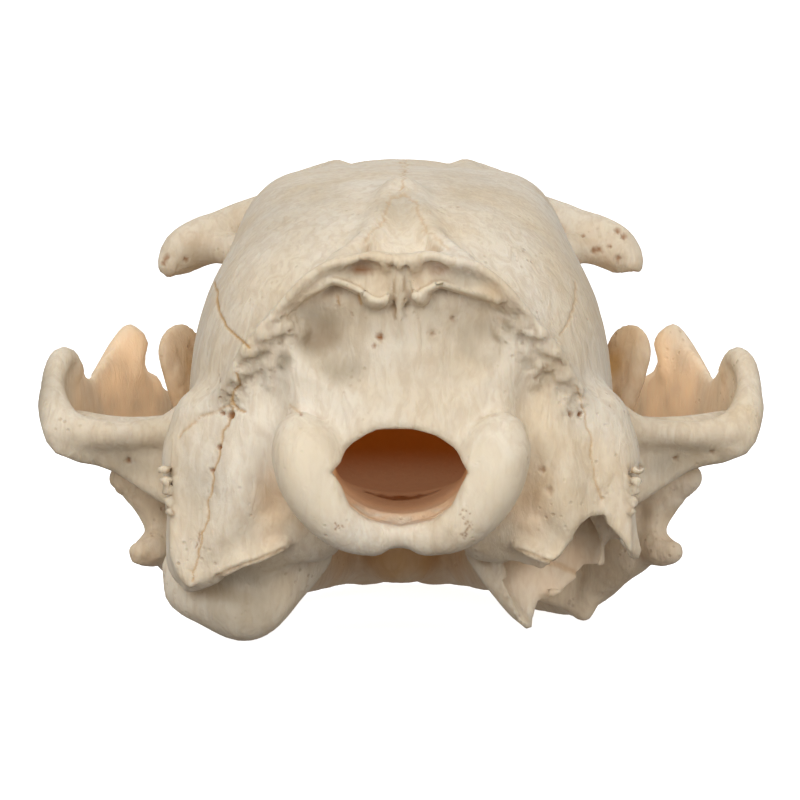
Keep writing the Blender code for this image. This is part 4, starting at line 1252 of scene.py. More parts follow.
        # Centre, radii, roughness, grain and tint.
        rough = (
            ((-13.6, -64.4, 36), (4.8, 5, 3.6), 0.3, 0.7, 0.12),
            ((-16.6, -62.4, 32), (3.6, 5, 4.2), 0.36, 0.7, 0.16),
            ((-18.8, -60, 28.2), (2.6, 5, 3.4), 0.36, 0.7, 0.25),
            ((13.4, -64.4, 35.8), (4.8, 5, 3.8), 0.3, 0.7, 0.12),
            ((16.6, -62.4, 31.6), (3.6, 5, 4.4), 0.36, 0.7, 0.16),
            ((19, -60, 27.4), (2.6, 5, 3.4), 0.36, 0.7, 0.22),
            ((-9.6, -66, 38.2), (5, 3.4, 2), 0.22, 0.7, 0.15),
            ((9.6, -66, 38), (5, 3.4, 2), 0.22, 0.7, 0.15), ((-17, -60, 20.4), (4, 6, 7), 0.12, 0.6, 0.05),
            ((17.4, -60, 20.4), (4, 6, 7), 0.1, 0.6, 0.05), ((-22.6, -58, 20), (4.4, 6, 9), 0.1, 0.8, 0),
            ((22.6, -58, 20), (4.4, 6, 9), 0.1, 0.8, 0), ((-40, -24, 22), (5, 8, 3.4), 0.14, 0.8, 0),
            ((40, -24, 22), (5, 8, 3.4), 0.14, 0.8, 0), ((-24, -45, 4.4), (5, 9, 3), 0.14, 0.9, 0),
            ((-27.4, -0.4, 42), (3.4, 3.4, 3), 0.16, 0.8, 0),
            ((27.4, -0.4, 42), (3.4, 3.4, 3), 0.2, 0.8, 0),
            ((-13.2, -63, 32.4), (1.5, 4, 1.7), 0.2, 0.6, 1),
            ((-17.8, -61, 30.6), (1.7, 4, 1.2), 0.2, 0.6, 0.9),
            ((-15.7, -63, 33.3), (1.5, 4, 0.9), 0.2, 0.6, 0.7),
            ((-19.3, -60, 28.1), (1.3, 4, 1.6), 0.2, 0.6, 0.8),
            ((-11.5, -64, 35.9), (1.3, 4, 1.3), 0.2, 0.6, 0.7),
            ((14.3, -63, 32.4), (1.4, 4, 1.5), 0.2, 0.6, 0.7),
            ((16.3, -61, 30.3), (1.5, 4, 1.3), 0.2, 0.6, 0.6),
            ((12, -64, 36.3), (1.2, 4, 1.2), 0.2, 0.6, 0.6),
            ((19.4, -60, 27.6), (1.3, 4, 1.6), 0.2, 0.6, 0.6), ((19, -57, 9), (8, 6, 8), 0.16, 0.7),
        )
        # Centre, radii and amount, by mask.
        stains_and_painted_light = {
            # Some of these darken where shade falls, as painted shade: the dips of the back plate, the outer
            # side of the left cheek arch and the underside of the left ear capsule.
            Layer.STAIN_AND_SHADE: (
                ((-9.4, -62, 35.6), (4.6, 8, 4.4), 1), ((-6.5, -63, 32.4), (4.4, 8, 4), 0.6),
                ((9.2, -62, 34.2), (4.8, 8, 4.4), 0.55), ((6.2, -63, 31.8), (4, 8, 3.6), 0.3),
                ((0, -66, 34), (15, 7, 12), 0.12), ((0, -53, 49), (4.6, 9, 3.6), 0.38),
                ((-23, -58, 18.7), (4.4, 6, 8), 0.36), ((-42, -24, 25.6), (3.6, 9, 7), 0.85),
                ((-12, -46, 50), (9, 22, 9), 0.2), ((8, -40, 52), (9, 20, 6), 0.16),
                ((-2.8, -65.6, 38.7), (2.6, 3, 1.2), 0.4), ((-18.6, -56, 5), (8, 7, 6.6), 0.62),
                ((-19.6, -58, 9.4), (4.4, 5, 3.4), 0.25), ((-33.4, -33.6, 19.4), (8.4, 4, 3.4), 0.5),
                ((33.4, -33.6, 19.4), (8.4, 4, 3.4), 0.42), ((-24.6, -1, 42.6), (4.4, 5, 3.4), 0.4),
                ((-41, -27, 26.4), (2, 6, 5), 0.3), ((-6.3, -67.4, 42.5), (4.6, 3, 1.5), 0.5),
                ((6.6, -67, 41.6), (4.6, 3, 1.5), 0.5),
            ),
            # Painted shade in the back plate's left dip and in the two pockets of the crest.
            Layer.PIT_AND_SHADE: (
                ((-9.1, -63, 35.2), (3.2, 6, 3), 0.2), ((-4.3, -66.8, 42.9), (1.9, 2.4, 0.9), 0.95),
                ((4.2, -66.8, 42.7), (1.6, 2.4, 0.8), 0.8),
            ),
            # The wide brown tint along the skull's floor is painted shade of the dark mouth seen under the
            # skull.
            Layer.SEAM: (
                ((-9.7, -50, 10.5), (0.9, 8, 0.9), 0.9), ((22.1, -1, 45.3), (2.6, 5, 1.6), 0.25),
                ((-24.7, -1, 45.1), (2.6, 5, 1.6), 0.15), ((0, -20, 13), (13, 42, 6), 0.3),
                ((-1.9, -67.6, 42), (1.6, 3, 2.4), 0.22), ((2.1, -67.6, 42.2), (1.8, 3, 2.2), 0.25),
                ((-10.5, -65.6, 39.7), (3, 3, 2.2), 0.3), ((10.6, -66, 40.4), (3, 3, 2.2), 0.3),
            ),
            # The tan tint paints warm light into the broken right ear capsule, and drives the painted
            # emission there.
            Layer.TAN: (
                ((18.2, -50, 8), (9, 14, 6), 0.34),
            ),
        }
        # The same for what both sides have, given for the right.
        twins = {
            Layer.STAIN_AND_SHADE: (
                ((25.9, -59.6, 17.4), (1, 2.4, 3), 0.7),
            ),
            # The tan tints paint warm light and shade in the valleys beside the condyles, the cheek arches'
            # inner bowls and the brow processes, and drive the painted emission there.
            Layer.TAN: (
                ((14.8, -60, 17), (3.2, 7, 8), 0.3), ((31, -3, 27), (11, 17, 12), 0.95),
                ((36, -17, 27), (6, 10, 7), 0.45), ((24, 2, 42), (9, 7, 8), 0.12),
            ),
            Layer.POLISH: (
                ((9.8, -67, 18.4), (6, 7, 9.4), 1),
            ),
        }
        zones = [Zone(*values) for values in rough]
        for layer, rows in stains_and_painted_light.items():
            zones += [Zone(centre, radii, tint=tint, layer=layer) for centre, radii, tint in rows]
        for layer, rows in twins.items():
            for centre, radii, tint in rows:
                zones += [Zone(each, radii, tint=tint, layer=layer) for each in (*flip([centre]), centre)]
        return zones

    def build(self, finish: bpy.types.Material) -> bpy.types.Object:
        """Skins, refines and carves the bone.

        Args:
            finish: The bone's material.

        Returns:
            The finished piece.
        """
        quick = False
        bone = self.grow()
        skin = Skin.around(bone)
        skin.main_body()
        marks, pits, zones = self.marks(), self.pits(), self.zones()
        behind = smooth_step(-0.1, 0.35, skin.normals()[:, 1])
        broken_ear = np.array((18.0, -44.0, 8.0))
        shell = smooth_step(6.0, 10.0, np.linalg.norm(skin.points - broken_ear, axis=1))
        target = self.quick_faces if quick else self.first_faces
        skin.thin(target, np.clip(0.15 + 0.85 * behind, 0.0, 1.0) * shell)
        skin.settle(bone)
        if not quick:
            for plain, rounds, most in ((1.6, 4, self.body_faces), (0.5, 2, self.most_faces)):
                skin.refine(bone, partial(self._reach, marks, pits, zones, plain), rounds, most)
            log.info("cranium skin: %d faces", len(skin.faces))
        _, normals = bone.slope(skin.points)
        inner = Lump(self.brain, self.brain_radii).distance(*skin.points.T) < 0.7
        across, depth, height = skin.points.T
        canal = (np.abs(across) < 8.6) & (np.abs(height - 19.8) < 5.6) & (depth > -65.0)
        inner |= canal & (depth < -42.0) & (np.abs(normals[:, 1]) < 0.8)
        relief = Relief(skin, normals, ~inner)
        for zone in zones:
            relief.zone(zone)
        for mark in marks:
            relief.line(mark)
        for pit in pits:
            relief.pit(pit)
        # Painted shade: hollows and creases are darkened by how much bone crowds them.
        relief.paint_hollow_shade(bone, (1.2, 3.0, 7.0))
        # Inside the braincase a warm tint and painted emitted light stand in for light through the thin bone;
        # both fade towards the canal's floor.
        floor = 0.25 + 0.75 * smooth_step(15.0, 22.5, height)
        relief.masks[Layer.INNER_GLOW] = (inner * floor).astype(np.float32)
        # Painted light on the canal's floor, which light reaches through the foramen: the tan mask there
        # warms and brightens it and drives the painted emission.
        canal_floor_light = smooth_step(20.6, 16.6, height) * (0.3 + 0.12 * smooth_step(-30.0, -50.0, depth))
        canal_floor_light *= 1.0 - 0.7 * smooth_step(-52.0, -60.0, depth)
        relief.masks[Layer.TAN] = np.where(inner, canal_floor_light, relief.masks[Layer.TAN]).astype(np.float32)
        # Less painted shade inside the broken ear capsule.
        open_ear = Zone((17.4, -54.0, 9.0), (10.0, 9.0, 11.0)).share(skin.points)
        relief.masks[Layer.HOLLOW_SHADE] *= (1.0 - 0.85 * open_ear).astype(np.float32)
        # Less painted shade on the rough bands beside the crest.
        for side in (-1.0, 1.0):
            band = Zone((side * 16.0, -62.0, 32.0), (8.0, 8.0, 9.0)).share(skin.points)
            relief.masks[Layer.HOLLOW_SHADE] *= (1.0 - 0.45 * band).astype(np.float32)
        swell = 0.07 * relief.stray.layered(skin.points, 4.0, 2) * (1.0 - relief.masks[Layer.POLISH])
        relief.offset += np.where(inner, 0.0, swell).astype(np.float32)
        relief.apply()
        return dressed_piece("cranium_bone", skin, relief.masks, finish)

    def _reach(
        self, marks: list[Mark], pits: list[Pit], zones: list[Zone], plain: float, places: Array, ways: Array,
    ) -> Array:
        """The longest edge allowed at some places: short where the bone is finely worked.

        Args:
            marks: The lines that will be cut.
            pits: The holes that will be sunk.
            zones: The parts that will be roughened.
            plain: The longest edge on plain bone that faces backwards, in mm.
            places: The middles of the edges.
            ways: Their normals, of any length.

        Returns:
            One length in mm for each place.
        """
        facing = ways[:, 1] / np.maximum(np.linalg.norm(ways, axis=1), 1e-6)
        wish = np.where(facing < -0.15, plain, 1.6)
        wish = np.where((facing < 0.2) & (places[:, 1] < -20.0), np.minimum(wish, max(plain, 0.8)), wish)
        for zone in zones:
            if zone.rough > 0.15:
                wish = np.where(zone.share(places) > 0.15, np.minimum(wish, 0.27), wish)
        view = seen(places)
        outward = (facing < 0.25) & (places[:, 1] < 20.0)
        lips = [self.left_lip, self.right_lip, self.ear_edge, flip(self.ear_edge)]
        fine = [([knot[:3] for knot in lip], 0.25) for lip in lips]
        fine += [(mark.path, mark.width) for mark in marks] + [((pit.place,), pit.radius) for pit in pits]
        for path, width in fine:
            line = np.array(path)
            flat = line.shape[1] == 2
            spots = view if flat else places
            reach = 3.0 * width + 0.25
            rows = np.all((spots > line.min(axis=0) - reach) & (spots < line.max(axis=0) + reach), axis=1)
            rows = np.flatnonzero(rows & outward if flat else rows)
            if len(rows):
                close = path_gap(spots[rows], [*path, path[-1]])[0] < reach
                wish[rows[close]] = np.minimum(wish[rows[close]], max(0.12, 0.9 * width))
        return wish


@dataclass
class Mandible:
    """The lower jaw: two halves grown together at the chin."""

    grid: float = 0.45
    first_faces: int = 40000
    quick_faces: int = 24000
    most_faces: int = 90000
    splay: float = 1.1
    body: Line = (
        (0.4, 60, 5.4, 4.2), (-5.4, 56, 5.2, 4.8), (-9.6, 44, 5.4, 5), (-13.4, 28, 5.6, 5.2),
        (-17, 12, 5.6, 5.2), (-20.4, -4, 6.2, 5.8), (-23.6, -16, 8.6, 6), (-26, -22, 10.4, 4.6),
    )
    coronoid: Line = (
        (-21.6, -7, 10, 6.8), (-22.8, -9, 18, 4.8), (-24.2, -12, 25.6, 3.8), (-26.2, -13.6, 31.8, 3.5),
    )
    ramus: Line = ((-22.4, -11, 9, 6.6), (-26, -20, 11.6, 5))
    heel: Line = (
        (-31.6, -25.8, 16.8, 1.8), (-29.6, -25.4, 14, 1.7), (-28.5, -25.4, 11.2, 1.6),
        (-29.2, -27, 9.2, 1.7),
    )
    neck: Line = ((-25, -18, 12.6, 3.2), (-27, -23, 15.2, 2.4), (-28.2, -25.6, 17, 2.1))
    joint: Line = ((-22.6, -25, 17.2, 1.7), (-28.2, -25.8, 17.4, 2.1), (-32.7, -26.2, 17.5, 1.6))
    angle: Line = ((-24.6, -18, 8.4, 3.2), (-27.6, -24, 9, 2), (-30.6, -28, 8.8, 1.35))
    low_edge: Line = (
        (-16.8, -2, 4.5, 4), (-19.2, -10, 3.2, 2.8), (-20.9, -15.6, 2.2, 1.5), (-21.7, -18, 1.15, 0.55),
    )
    rear_edge: Line = (
        (-21.7, -18, 1.2, 0.6), (-22.6, -19, 4, 1.2), (-24.2, -20.5, 6, 1.4), (-26.4, -23, 7.9, 1.6),
    )
    corner: Line = (
        (14.1, 3.4), (15.9, 2.6), (18.4, 1.8), (21, 0.95), (21.7, 0.95), (22.3, 1.5), (22.9, 2.4),
        (24.3, 4), (25.5, 4.7), (26.5, 5.9), (27.4, 6.6), (27.2, 8.8), (23.1, 9.7), (18.4, 7.3),
    )
    chin: Line = ((-4, 58, 5.2, 4.6), (0, 48, 4.4, 3.6), (4, 58, 5.2, 4.6))
    chin_seam: Line = ((0, 64.4, 4), (0, 60, 0.8), (0, 50, 1), (0, 46, 3.4))
    # Centre, radii, roughness, grain, tint and mask of what both halves have, given for the right. The tints
    # on the coronoid paint its warm shade.
    rough_and_shaded: tuple[tuple, ...] = (
        ((30.4, -28, 8.4), (3.4, 4, 3.2), 0.12, 0.9, 0.3, Layer.TAN),
        ((32.6, -26.4, 16.2), (3, 3, 2.4), 0.14, 0.8),
        ((26.8, -14, 29), (4, 6, 6), 0.1, 1.2, 0.6, Layer.TAN),
        ((25.6, -12.6, 26), (9, 14, 16), 0, 1, 0.85, Layer.TAN),
        ((24.8, -14, 30.6), (1.8, 5, 2.4), 0, 1, 0.5, Layer.SEAM),
        ((24.4, -14, 32.6), (1.9, 5, 1.4), 0.16, 0.9, 0.35, Layer.PIT_AND_SHADE),
        ((21, -9, 4), (6, 9, 6), 0.05, 1.2, 0.2),
    )
    # The chin's roughness, and tints that paint the dark shade of the mouth seen under the skull.
    chin_rough_and_shaded: tuple[tuple, ...] = (
        ((0, 58, 5), (9, 14, 8), 0.14, 1),
        ((0, 50, 5), (16, 40, 12), 0, 1, 0.75, Layer.TAN),
        ((0, 50, 5), (7, 26, 9), 0, 1, 0.35, Layer.SEAM),
    )

    def _pair(self, knots: Line, **settings: object) -> tuple[Limb, Limb]:
        """A limb of the left half and its twin, bent a little outwards at the back and the top."""
        bent = []
        for x, y, z, radius in knots:
            share = max(smooth_step(-18.0, -25.0, y), 0.8 * smooth_step(18.0, 30.0, z))
            bent.append((-x + self.splay * share, y, z, radius))
        return Limb(knots, up=(0.7, 0.7, 0.0), **settings), Limb(bent, up=(-0.7, 0.7, 0.0), **settings)

    def grow(self) -> BoneField:
        """Melts the jaw together and takes its sockets and holes out."""
        bone = BoneField((-38.0, -32.0, -1.0), (38.0, 67.0, 38.0), self.grid)
        bone.add(*limbs(self.body, flat=2.0), blend=0.2)
        bone.add(*self._pair(self.coronoid, flat=3.0), blend=1.2)
        bone.add(*limbs(self.ramus, flat=2.6), blend=2.2)
        bone.add(*self._pair(self.heel), blend=1.2)
        bone.add(*self._pair(self.neck), blend=1.4)
        bone.add(*self._pair(self.joint), blend=0.9)
        bone.add(*self._pair(self.angle), blend=1.6)
        bone.add(*limbs(self.low_edge), blend=1.8)
        bone.add(*self._pair(self.rear_edge), blend=1.4)
        bone.add(*sheets(self.corner, -18.6, -15.4, 1), blend=1.6)
        bone.add(*limbs(((-21.2, -17, 3.1, 1.3), (-21.6, -17.2, 1.7, 0.8), (-21.7, -17.2, 0.95, 0.35))),
                 blend=0.6)
        bone.add(Limb(self.chin), blend=2.0)
        bone.add(*self._pair(((-27.6, -15, 32, 0.8), (-26.8, -14.8, 28, 0.9), (-24.6, -13.6, 22, 0.9))),
                 blend=0.8)
        bone.cut(*lumps((-27.6, -10, 17.6), (3, 7.4, 6.6)), blend=1.6)
        bone.cut(*lumps((-21, -14, 13), (1.6, 1.3, 1.8)), blend=0.5)
        bone.cut(*lumps((-12.4, 43, 5.6), (1.6, 0.9, 0.7)), blend=0.3)
        bone.cut(*lumps((-14.2, 35, 5.4), (1.4, 0.7, 0.6)), blend=0.3)
        bone.cut(*lumps((-31.6, -27.6, 12), (1.5, 1.8, 1.9)), blend=0.8)
        for tooth in LOWER_TEETH:
            bone.cut(tooth.socket(), blend=0.3)
        return bone

    def build(self, finish: bpy.types.Material) -> bpy.types.Object:
        """Skins, refines and carves the jaw, and gives back the finished piece."""
        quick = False
        bone = self.grow()
        skin = Skin.around(bone)
        skin.main_body()
        behind = smooth_step(-0.1, 0.35, skin.normals()[:, 1])
        skin.thin(self.quick_faces if quick else self.first_faces, 0.2 + 0.8 * behind)
        skin.settle(bone)
        if not quick:
            skin.refine(bone, self._reach, 3, self.most_faces)
        _, normals = bone.slope(skin.points)
        relief = Relief(skin, normals, np.ones(len(skin.points), bool), Noise(23))
        for side in (-1.0, 1.0):
            for (x, y, z), *values in self.rough_and_shaded:
                relief.zone(Zone((side * x, y, z), *values))
        for values in self.chin_rough_and_shaded:
            relief.zone(Zone(*values))
        relief.line(Mark(self.chin_seam, 0.16, 0.25, 0.6, 0.35))
        # Painted shade in hollows and creases.
        relief.paint_hollow_shade(bone, (1.2, 3.0, 7.0))
        relief.offset += (0.08 * relief.stray.layered(skin.points, 3.4, 2)).astype(np.float32)
        relief.apply()
        return dressed_piece("mandible_bone", skin, relief.masks, finish)

    @staticmethod
    def _reach(places: Array, ways: Array) -> Array:
        """The longest edge allowed: short on the side that is seen from behind."""
        facing = ways[:, 1] / np.maximum(np.linalg.norm(ways, axis=1), 1e-6)
        wish = np.where(facing < -0.1, 0.55, 1.6)
        return np.where(places[:, 1] < -22.0, np.minimum(wish, 0.4), wish)


class Kind(Enum):
    """The kinds of tooth: how far the crown bends back, how much it swells, how soon it narrows."""

    INCISOR = (0.05, 0.1, 0.46)
    CANINE = (0.16, 0.05, 0.72)
    CHEEK = (0.08, 0.12, 0.55)


@dataclass(frozen=True)
class Tooth:
    """One peg of dentine and enamel in its socket.

    Across and along are the crown's whole widths at its neck, height is how far
    it stands out of the jaw, and lean is how far its tip turns outwards.
    """

    node: str
    kind: Kind
    neck: Point
    across: float
    along: float
    height: float
    lean: float
    upward: bool
    root: float = 1.9
    room: float = 0.22

    def axis(self, share: float) -> Array:
        """A place on the tooth's own line: 0 at the neck, 1 at the tip, negative in the root."""
        way = 1.0 if self.upward else -1.0
        out = math.copysign(1.0, self.neck[0]) * math.tan(math.radians(self.lean))
        rise = self.height * share if share > 0.0 else self.root * share
        bow = -self.kind.value[0] * self.height * max(share, 0.0) ** 2
        return np.array(self.neck) + np.array([out * abs(rise) * 0.5, bow, way * rise])

    def socket(self) -> Limb:
        """The hole that the tooth needs in the bone."""
        deep, neck, clear = self.axis(-1.3), self.axis(0.0), self.axis(0.5)
        wide = 0.5 * max(self.across, self.along) + self.room
        flat = max(self.along / self.across, 1.001)
        return Limb(((*deep, wide * 0.9), (*neck, wide), (*clear, wide)), flat=flat, up=(0.0, 1.0, 0.0))

    def width(self, share: float) -> float:
        """How wide the tooth is along its line, as a share of its neck."""
        if share < 0.0:
            return 0.93 + 0.07 * (1.0 + share)
        _, swell, blunt = self.kind.value
        return (1.0 + swell * math.sin(math.pi * min(share * 2.4, 1.0))) * (1.0 - share ** 2.2) ** blunt

    def build(self, finish: bpy.types.Material, sides: int = 28, rows: int = 22) -> bpy.types.Object:
        """Turns the tooth's mesh.

        Args:
            finish: The enamel's material.
            sides: How many points a ring has.
            rows: How many rings lie between root and tip.

        Returns:
            The finished tooth.
        """
        shares = [-1.0, *(-1.0 + 1.97 * (row / rows) ** 0.85 for row in range(1, rows + 1))]
        angles = np.arange(sides) * 2.0 * math.pi / sides
        ribs = 1.0 + (0.03 if self.kind is Kind.CHEEK else 0.015) * np.cos(3.0 * angles + self.neck[1])
        x, y = 0.5 * self.across * np.cos(angles) * ribs, 0.5 * self.along * np.sin(angles) * ribs
        ring = np.stack([x, y, np.zeros(sides)], axis=1)
        points, wear = [], []
        for share in shares:
            points.append(self.axis(share) + ring * self.width(share))
            wear += [share] * sides
        points += [self.axis(-1.02)[None, :], self.axis(0.995)[None, :]]
        wear += [-1.0, 1.0]
        faces = []
        for row in range(len(shares) - 1):
            for side in range(sides):
                a, b = row * sides + side, row * sides + (side + 1) % sides
                faces += [(a, b, b + sides), (a, b + sides, a + sides)]
        foot, tip = len(shares) * sides, len(shares) * sides + 1
        last = (len(shares) - 1) * sides
        faces += [(foot, (side + 1) % sides, side) for side in range(sides)]
        faces += [(tip, last + side, last + (side + 1) % sides) for side in range(sides)]
        faces = np.array(faces)
        if not self.upward:
            faces = faces[:, ::-1]
        skin = Skin(np.vstack(points).astype(np.float32), faces)
        skin.points += 0.03 * Noise(31).layered(skin.points, 0.8, 2)[:, None] * skin.normals()
        neck = smooth_step(0.3, -0.05, np.array(wear))
        return dressed_piece(f"{self.node}_enamel", skin, {Layer.STAIN_AND_SHADE: neck}, finish)


def tooth_row(upward: bool, gum: float, row: Sequence[tuple[str, Kind, Knot]]) -> list[Tooth]:
    """Both sides' teeth of one jaw from the left side's sizes."""
    jaw = "lower" if upward else "upper"
    teeth = []
    for name, kind, (x, y, *sizes) in row:
        for side, word in ((-1.0, "left"), (1.0, "right")):
            teeth.append(Tooth(f"{jaw}_{name}_{word}", kind, (side * x, y, gum), *sizes, upward))
    return teeth


UPPER_TEETH = tooth_row(False, 16.2, (
    ("incisor_1", Kind.INCISOR, (1.3, 68.6, 1.9, 1.6, 3.2, 0.0)),
    ("incisor_2", Kind.INCISOR, (3.8, 67.9, 2.0, 1.7, 3.4, 4.0)),
    ("incisor_3", Kind.INCISOR, (6.5, 66.4, 2.2, 2.0, 3.9, 8.0)),
    ("canine", Kind.CANINE, (11.4, 57.4, 3.0, 3.6, 8.6, 8.0)),
    ("cheek_1", Kind.CHEEK, (12.2, 49.0, 1.7, 2.4, 2.6, 4.0)),
    ("cheek_2", Kind.CHEEK, (12.9, 41.0, 1.7, 2.6, 2.6, 4.0)),
    ("cheek_3", Kind.CHEEK, (14.6, 32.6, 1.8, 2.8, 2.8, 4.0)),
    ("cheek_4", Kind.CHEEK, (17.4, 24.0, 2.2, 2.6, 2.4, 4.0)),
))
LOWER_TEETH = tooth_row(True, 9.8, (
    ("incisor_1", Kind.INCISOR, (1.2, 63.0, 1.5, 1.5, 3.0, 0.0)),
    ("incisor_2", Kind.INCISOR, (3.3, 62.4, 1.5, 1.5, 3.2, 4.0)),
    ("incisor_3", Kind.INCISOR, (5.4, 61.2, 1.6, 1.7, 3.4, 8.0)),
    ("canine", Kind.CANINE, (7.2, 57.6, 2.4, 2.8, 7.4, 16.0)),
    ("cheek_1", Kind.CHEEK, (9.4, 46.0, 1.4, 2.2, 2.2, 4.0)),
    ("cheek_2", Kind.CHEEK, (11.4, 37.0, 1.4, 2.2, 2.2, 4.0)),
))


Socket = bpy.types.NodeSocket
Value = float | Socket
Colour = tuple[float, float, float] | Socket
Shade = tuple[int, int, int]


def tone(red: int, green: int, blue: int) -> tuple[float, float, float]:
    """A colour in the scene's linear units from its usual 0 to 255 numbers."""
    parts = [part / 255.0 for part in (red, green, blue)]
    return tuple(part / 12.92 if part <= 0.04045 else ((part + 0.055) / 1.055) ** 2.4 for part in parts)


@dataclass
class Wiring:
    """Lays and joins the nodes of one tree."""

    tree: bpy.types.NodeTree

    def place(self, socket: Socket, value: object) -> None:
        """Joins a socket to another, or sets its value."""
        if isinstance(value, bpy.types.NodeSocket):
            self.tree.links.new(value, socket)
        elif isinstance(value, tuple) and socket.type == "RGBA":
            socket.default_value = (*value[:3], 1.0)
        elif value is not None:
            socket.default_value = value

    def node(self, kind: str, inputs: dict[str, object] | None = None, **settings: object) -> bpy.types.Node:
        """A new node with its settings and inputs."""
        made = self.tree.nodes.new(kind)
        for name, value in settings.items():
            setattr(made, name, value)
        self.fill(made, inputs or {})
        return made

    def fill(self, node: bpy.types.Node, values: dict[str, object]) -> None:
        """Joins or sets several of a node's inputs."""
        for name, value in values.items():
            self.place(node.inputs[name], value)

    def attribute(self, layer: Layer) -> Socket:
        """One of the mesh's masks."""
        return self.node("ShaderNodeAttribute", attribute_name=layer.value).outputs["Fac"]

    def math(self, operation: str, first: Value, second: Value = 0.0, clamp: bool = False) -> Socket:
        """A sum of two values."""
        made = self.node("ShaderNodeMath", operation=operation, use_clamp=clamp)
        self.place(made.inputs[0], first)
        self.place(made.inputs[1], second)
        return made.outputs[0]

    def times(self, product: Value, *others: Value) -> Socket:
        """Values multiplied with each other."""
        for other in others:
            product = self.math("MULTIPLY", product, other)
        return product

    def blend(self, share: Value, first: Colour, second: Colour, kind: str = "MIX") -> Socket:
        """Two colours mixed."""
        made = self.node("ShaderNodeMix", data_type="RGBA", blend_type=kind)
        self.place(made.inputs[0], share)
        self.place(made.inputs[6], first)
        self.place(made.inputs[7], second)
        return made.outputs[2]

    def spread(self, value: Value, low: float, high: float, to_low: float = 0.0,
               to_high: float = 1.0) -> Socket:
        """A value taken from one range into another, and kept in it."""
        made = self.node("ShaderNodeMapRange", clamp=True)
        for socket, number in zip(made.inputs, (value, low, high, to_low, to_high)):
            self.place(socket, number)
        return made.outputs[0]

    def noise(self, place: Socket, scale: float, detail: float = 3.0, rough: float = 0.5,
              warp: float = 0.0) -> Socket:
        """Cloudy noise with lumps of about one over the scale, in metres."""
        values = {"Vector": place, "Scale": scale, "Detail": detail, "Roughness": rough, "Distortion": warp}
        return self.node("ShaderNodeTexNoise", values).outputs[0]

    def stretched(self, place: Socket, scale: Point, turn: Point = (0.0, 0.0, 0.0)) -> Socket:
        """The same places, drawn out along the axes."""
        values = {"Vector": place, "Scale": scale, "Rotation": tuple(math.radians(angle) for angle in turn)}
        return self.node("ShaderNodeMapping", values).outputs[0]


def new_material(name: str) -> tuple[bpy.types.Material, Wiring, bpy.types.Node]:
    """A fresh material, its wiring and its shader."""
    material = bpy.data.materials.new(name)
    material.use_nodes = True
    return material, Wiring(material.node_tree), material.node_tree.nodes["Principled BSDF"]


def new_group(
    name: str, inputs: Sequence[tuple[str, str, object]], outputs: Sequence[tuple[str, str]],
) -> tuple[Wiring, bpy.types.Node, bpy.types.Node]:
    """A node group with named sockets.

    Args:
        name: The group's name.
        inputs: Name, socket type and first value of each input.
        outputs: Name and socket type of each output.

    Returns:
        The group's wiring, its input node and its output node.
    """
    group = bpy.data.node_groups.new(name, "ShaderNodeTree")
    for label, kind, value in inputs:
        socket = group.interface.new_socket(name=label, in_out="INPUT", socket_type=kind)
        if value is not None:
            socket.default_value = value
    for label, kind in outputs:
        group.interface.new_socket(name=label, in_out="OUTPUT", socket_type=kind)
    wiring = Wiring(group)
    return wiring, wiring.node("NodeGroupInput"), wiring.node("NodeGroupOutput")


FLOAT, COLOUR, VECTOR = "NodeSocketFloat", "NodeSocketColor", "NodeSocketVector"


def bone_grain_group() -> bpy.types.NodeTree:
    """Fine wavy fibres, pores and clouds of shade, for every bony surface."""
    wiring, given, put = new_group(
        "bone_grain",
        [("Place", VECTOR, None), ("Fibres", FLOAT, 1.0), ("Pores", FLOAT, 1.0), ("Smooth", FLOAT, 0.0)],
        [("Clouds", FLOAT), ("Fibre Shade", FLOAT), ("Pore Shade", FLOAT), ("Height", FLOAT)],
    )
    place = given.outputs["Place"]
    clouds = wiring.noise(place, 90.0, 4.0, 0.55, 0.4)
    waves = wiring.noise(wiring.stretched(place, (1.0, 1.0, 0.3)), 620.0, 3.0, 0.55, 1.3)
    fine = wiring.noise(wiring.stretched(place, (1.0, 0.6, 0.4), (0.0, 24.0, 0.0)), 1500.0, 2.0, 0.5, 0.8)
    both = wiring.math("ADD", wiring.times(waves, 0.7), wiring.times(fine, 0.3))
    grit = wiring.noise(place, 2600.0, 2.0, 0.6)
    cells = {"Vector": place, "Scale": 900.0, "Randomness": 1.0}
    holes = wiring.node("ShaderNodeTexVoronoi", cells).outputs[0]
    patch = wiring.spread(wiring.noise(place, 160.0, 2.0, 0.5), 0.5, 0.66)
    pore = wiring.times(wiring.spread(holes, 0.24, 0.1), patch, given.outputs["Pores"])
    plain = wiring.math("SUBTRACT", 1.0, given.outputs["Smooth"], clamp=True)
    fibre = wiring.times(both, given.outputs["Fibres"], plain)
    height = wiring.math("ADD", fibre, wiring.times(grit, 0.16, plain))
    height = wiring.math("SUBTRACT", height, wiring.times(pore, plain, 0.5))
    pore_shade = wiring.times(pore, plain)
    wiring.fill(put, {"Clouds": clouds, "Fibre Shade": both, "Pore Shade": pore_shade, "Height": height})
    return wiring.tree


def stains_and_painted_light_group() -> bpy.types.NodeTree:
    """Lays the masks' colours over a bone's own colour, one after another: stained patches, seams, pits and
    polish, with painted shade and painted warm light among them.
    """
    names = ("Hollow Shade", "Tan Light And Shade", "Stain And Shade", "Polish", "Seam", "Pit", "Inner Glow")
    inputs = [("Base", COLOUR, (0.8, 0.7, 0.6, 1.0))]
    for name in names:
        inputs += [(name, FLOAT, 0.0), (f"{name} Colour", COLOUR, (0.5, 0.4, 0.3, 1.0))]
    wiring, given, put = new_group("bone_stains_and_painted_light", inputs, [("Colour", COLOUR)])
    colour = given.outputs["Base"]
    for name in names:
        colour = wiring.blend(given.outputs[name], colour, given.outputs[f"{name} Colour"])
    wiring.place(put.inputs["Colour"], colour)
    return wiring.tree


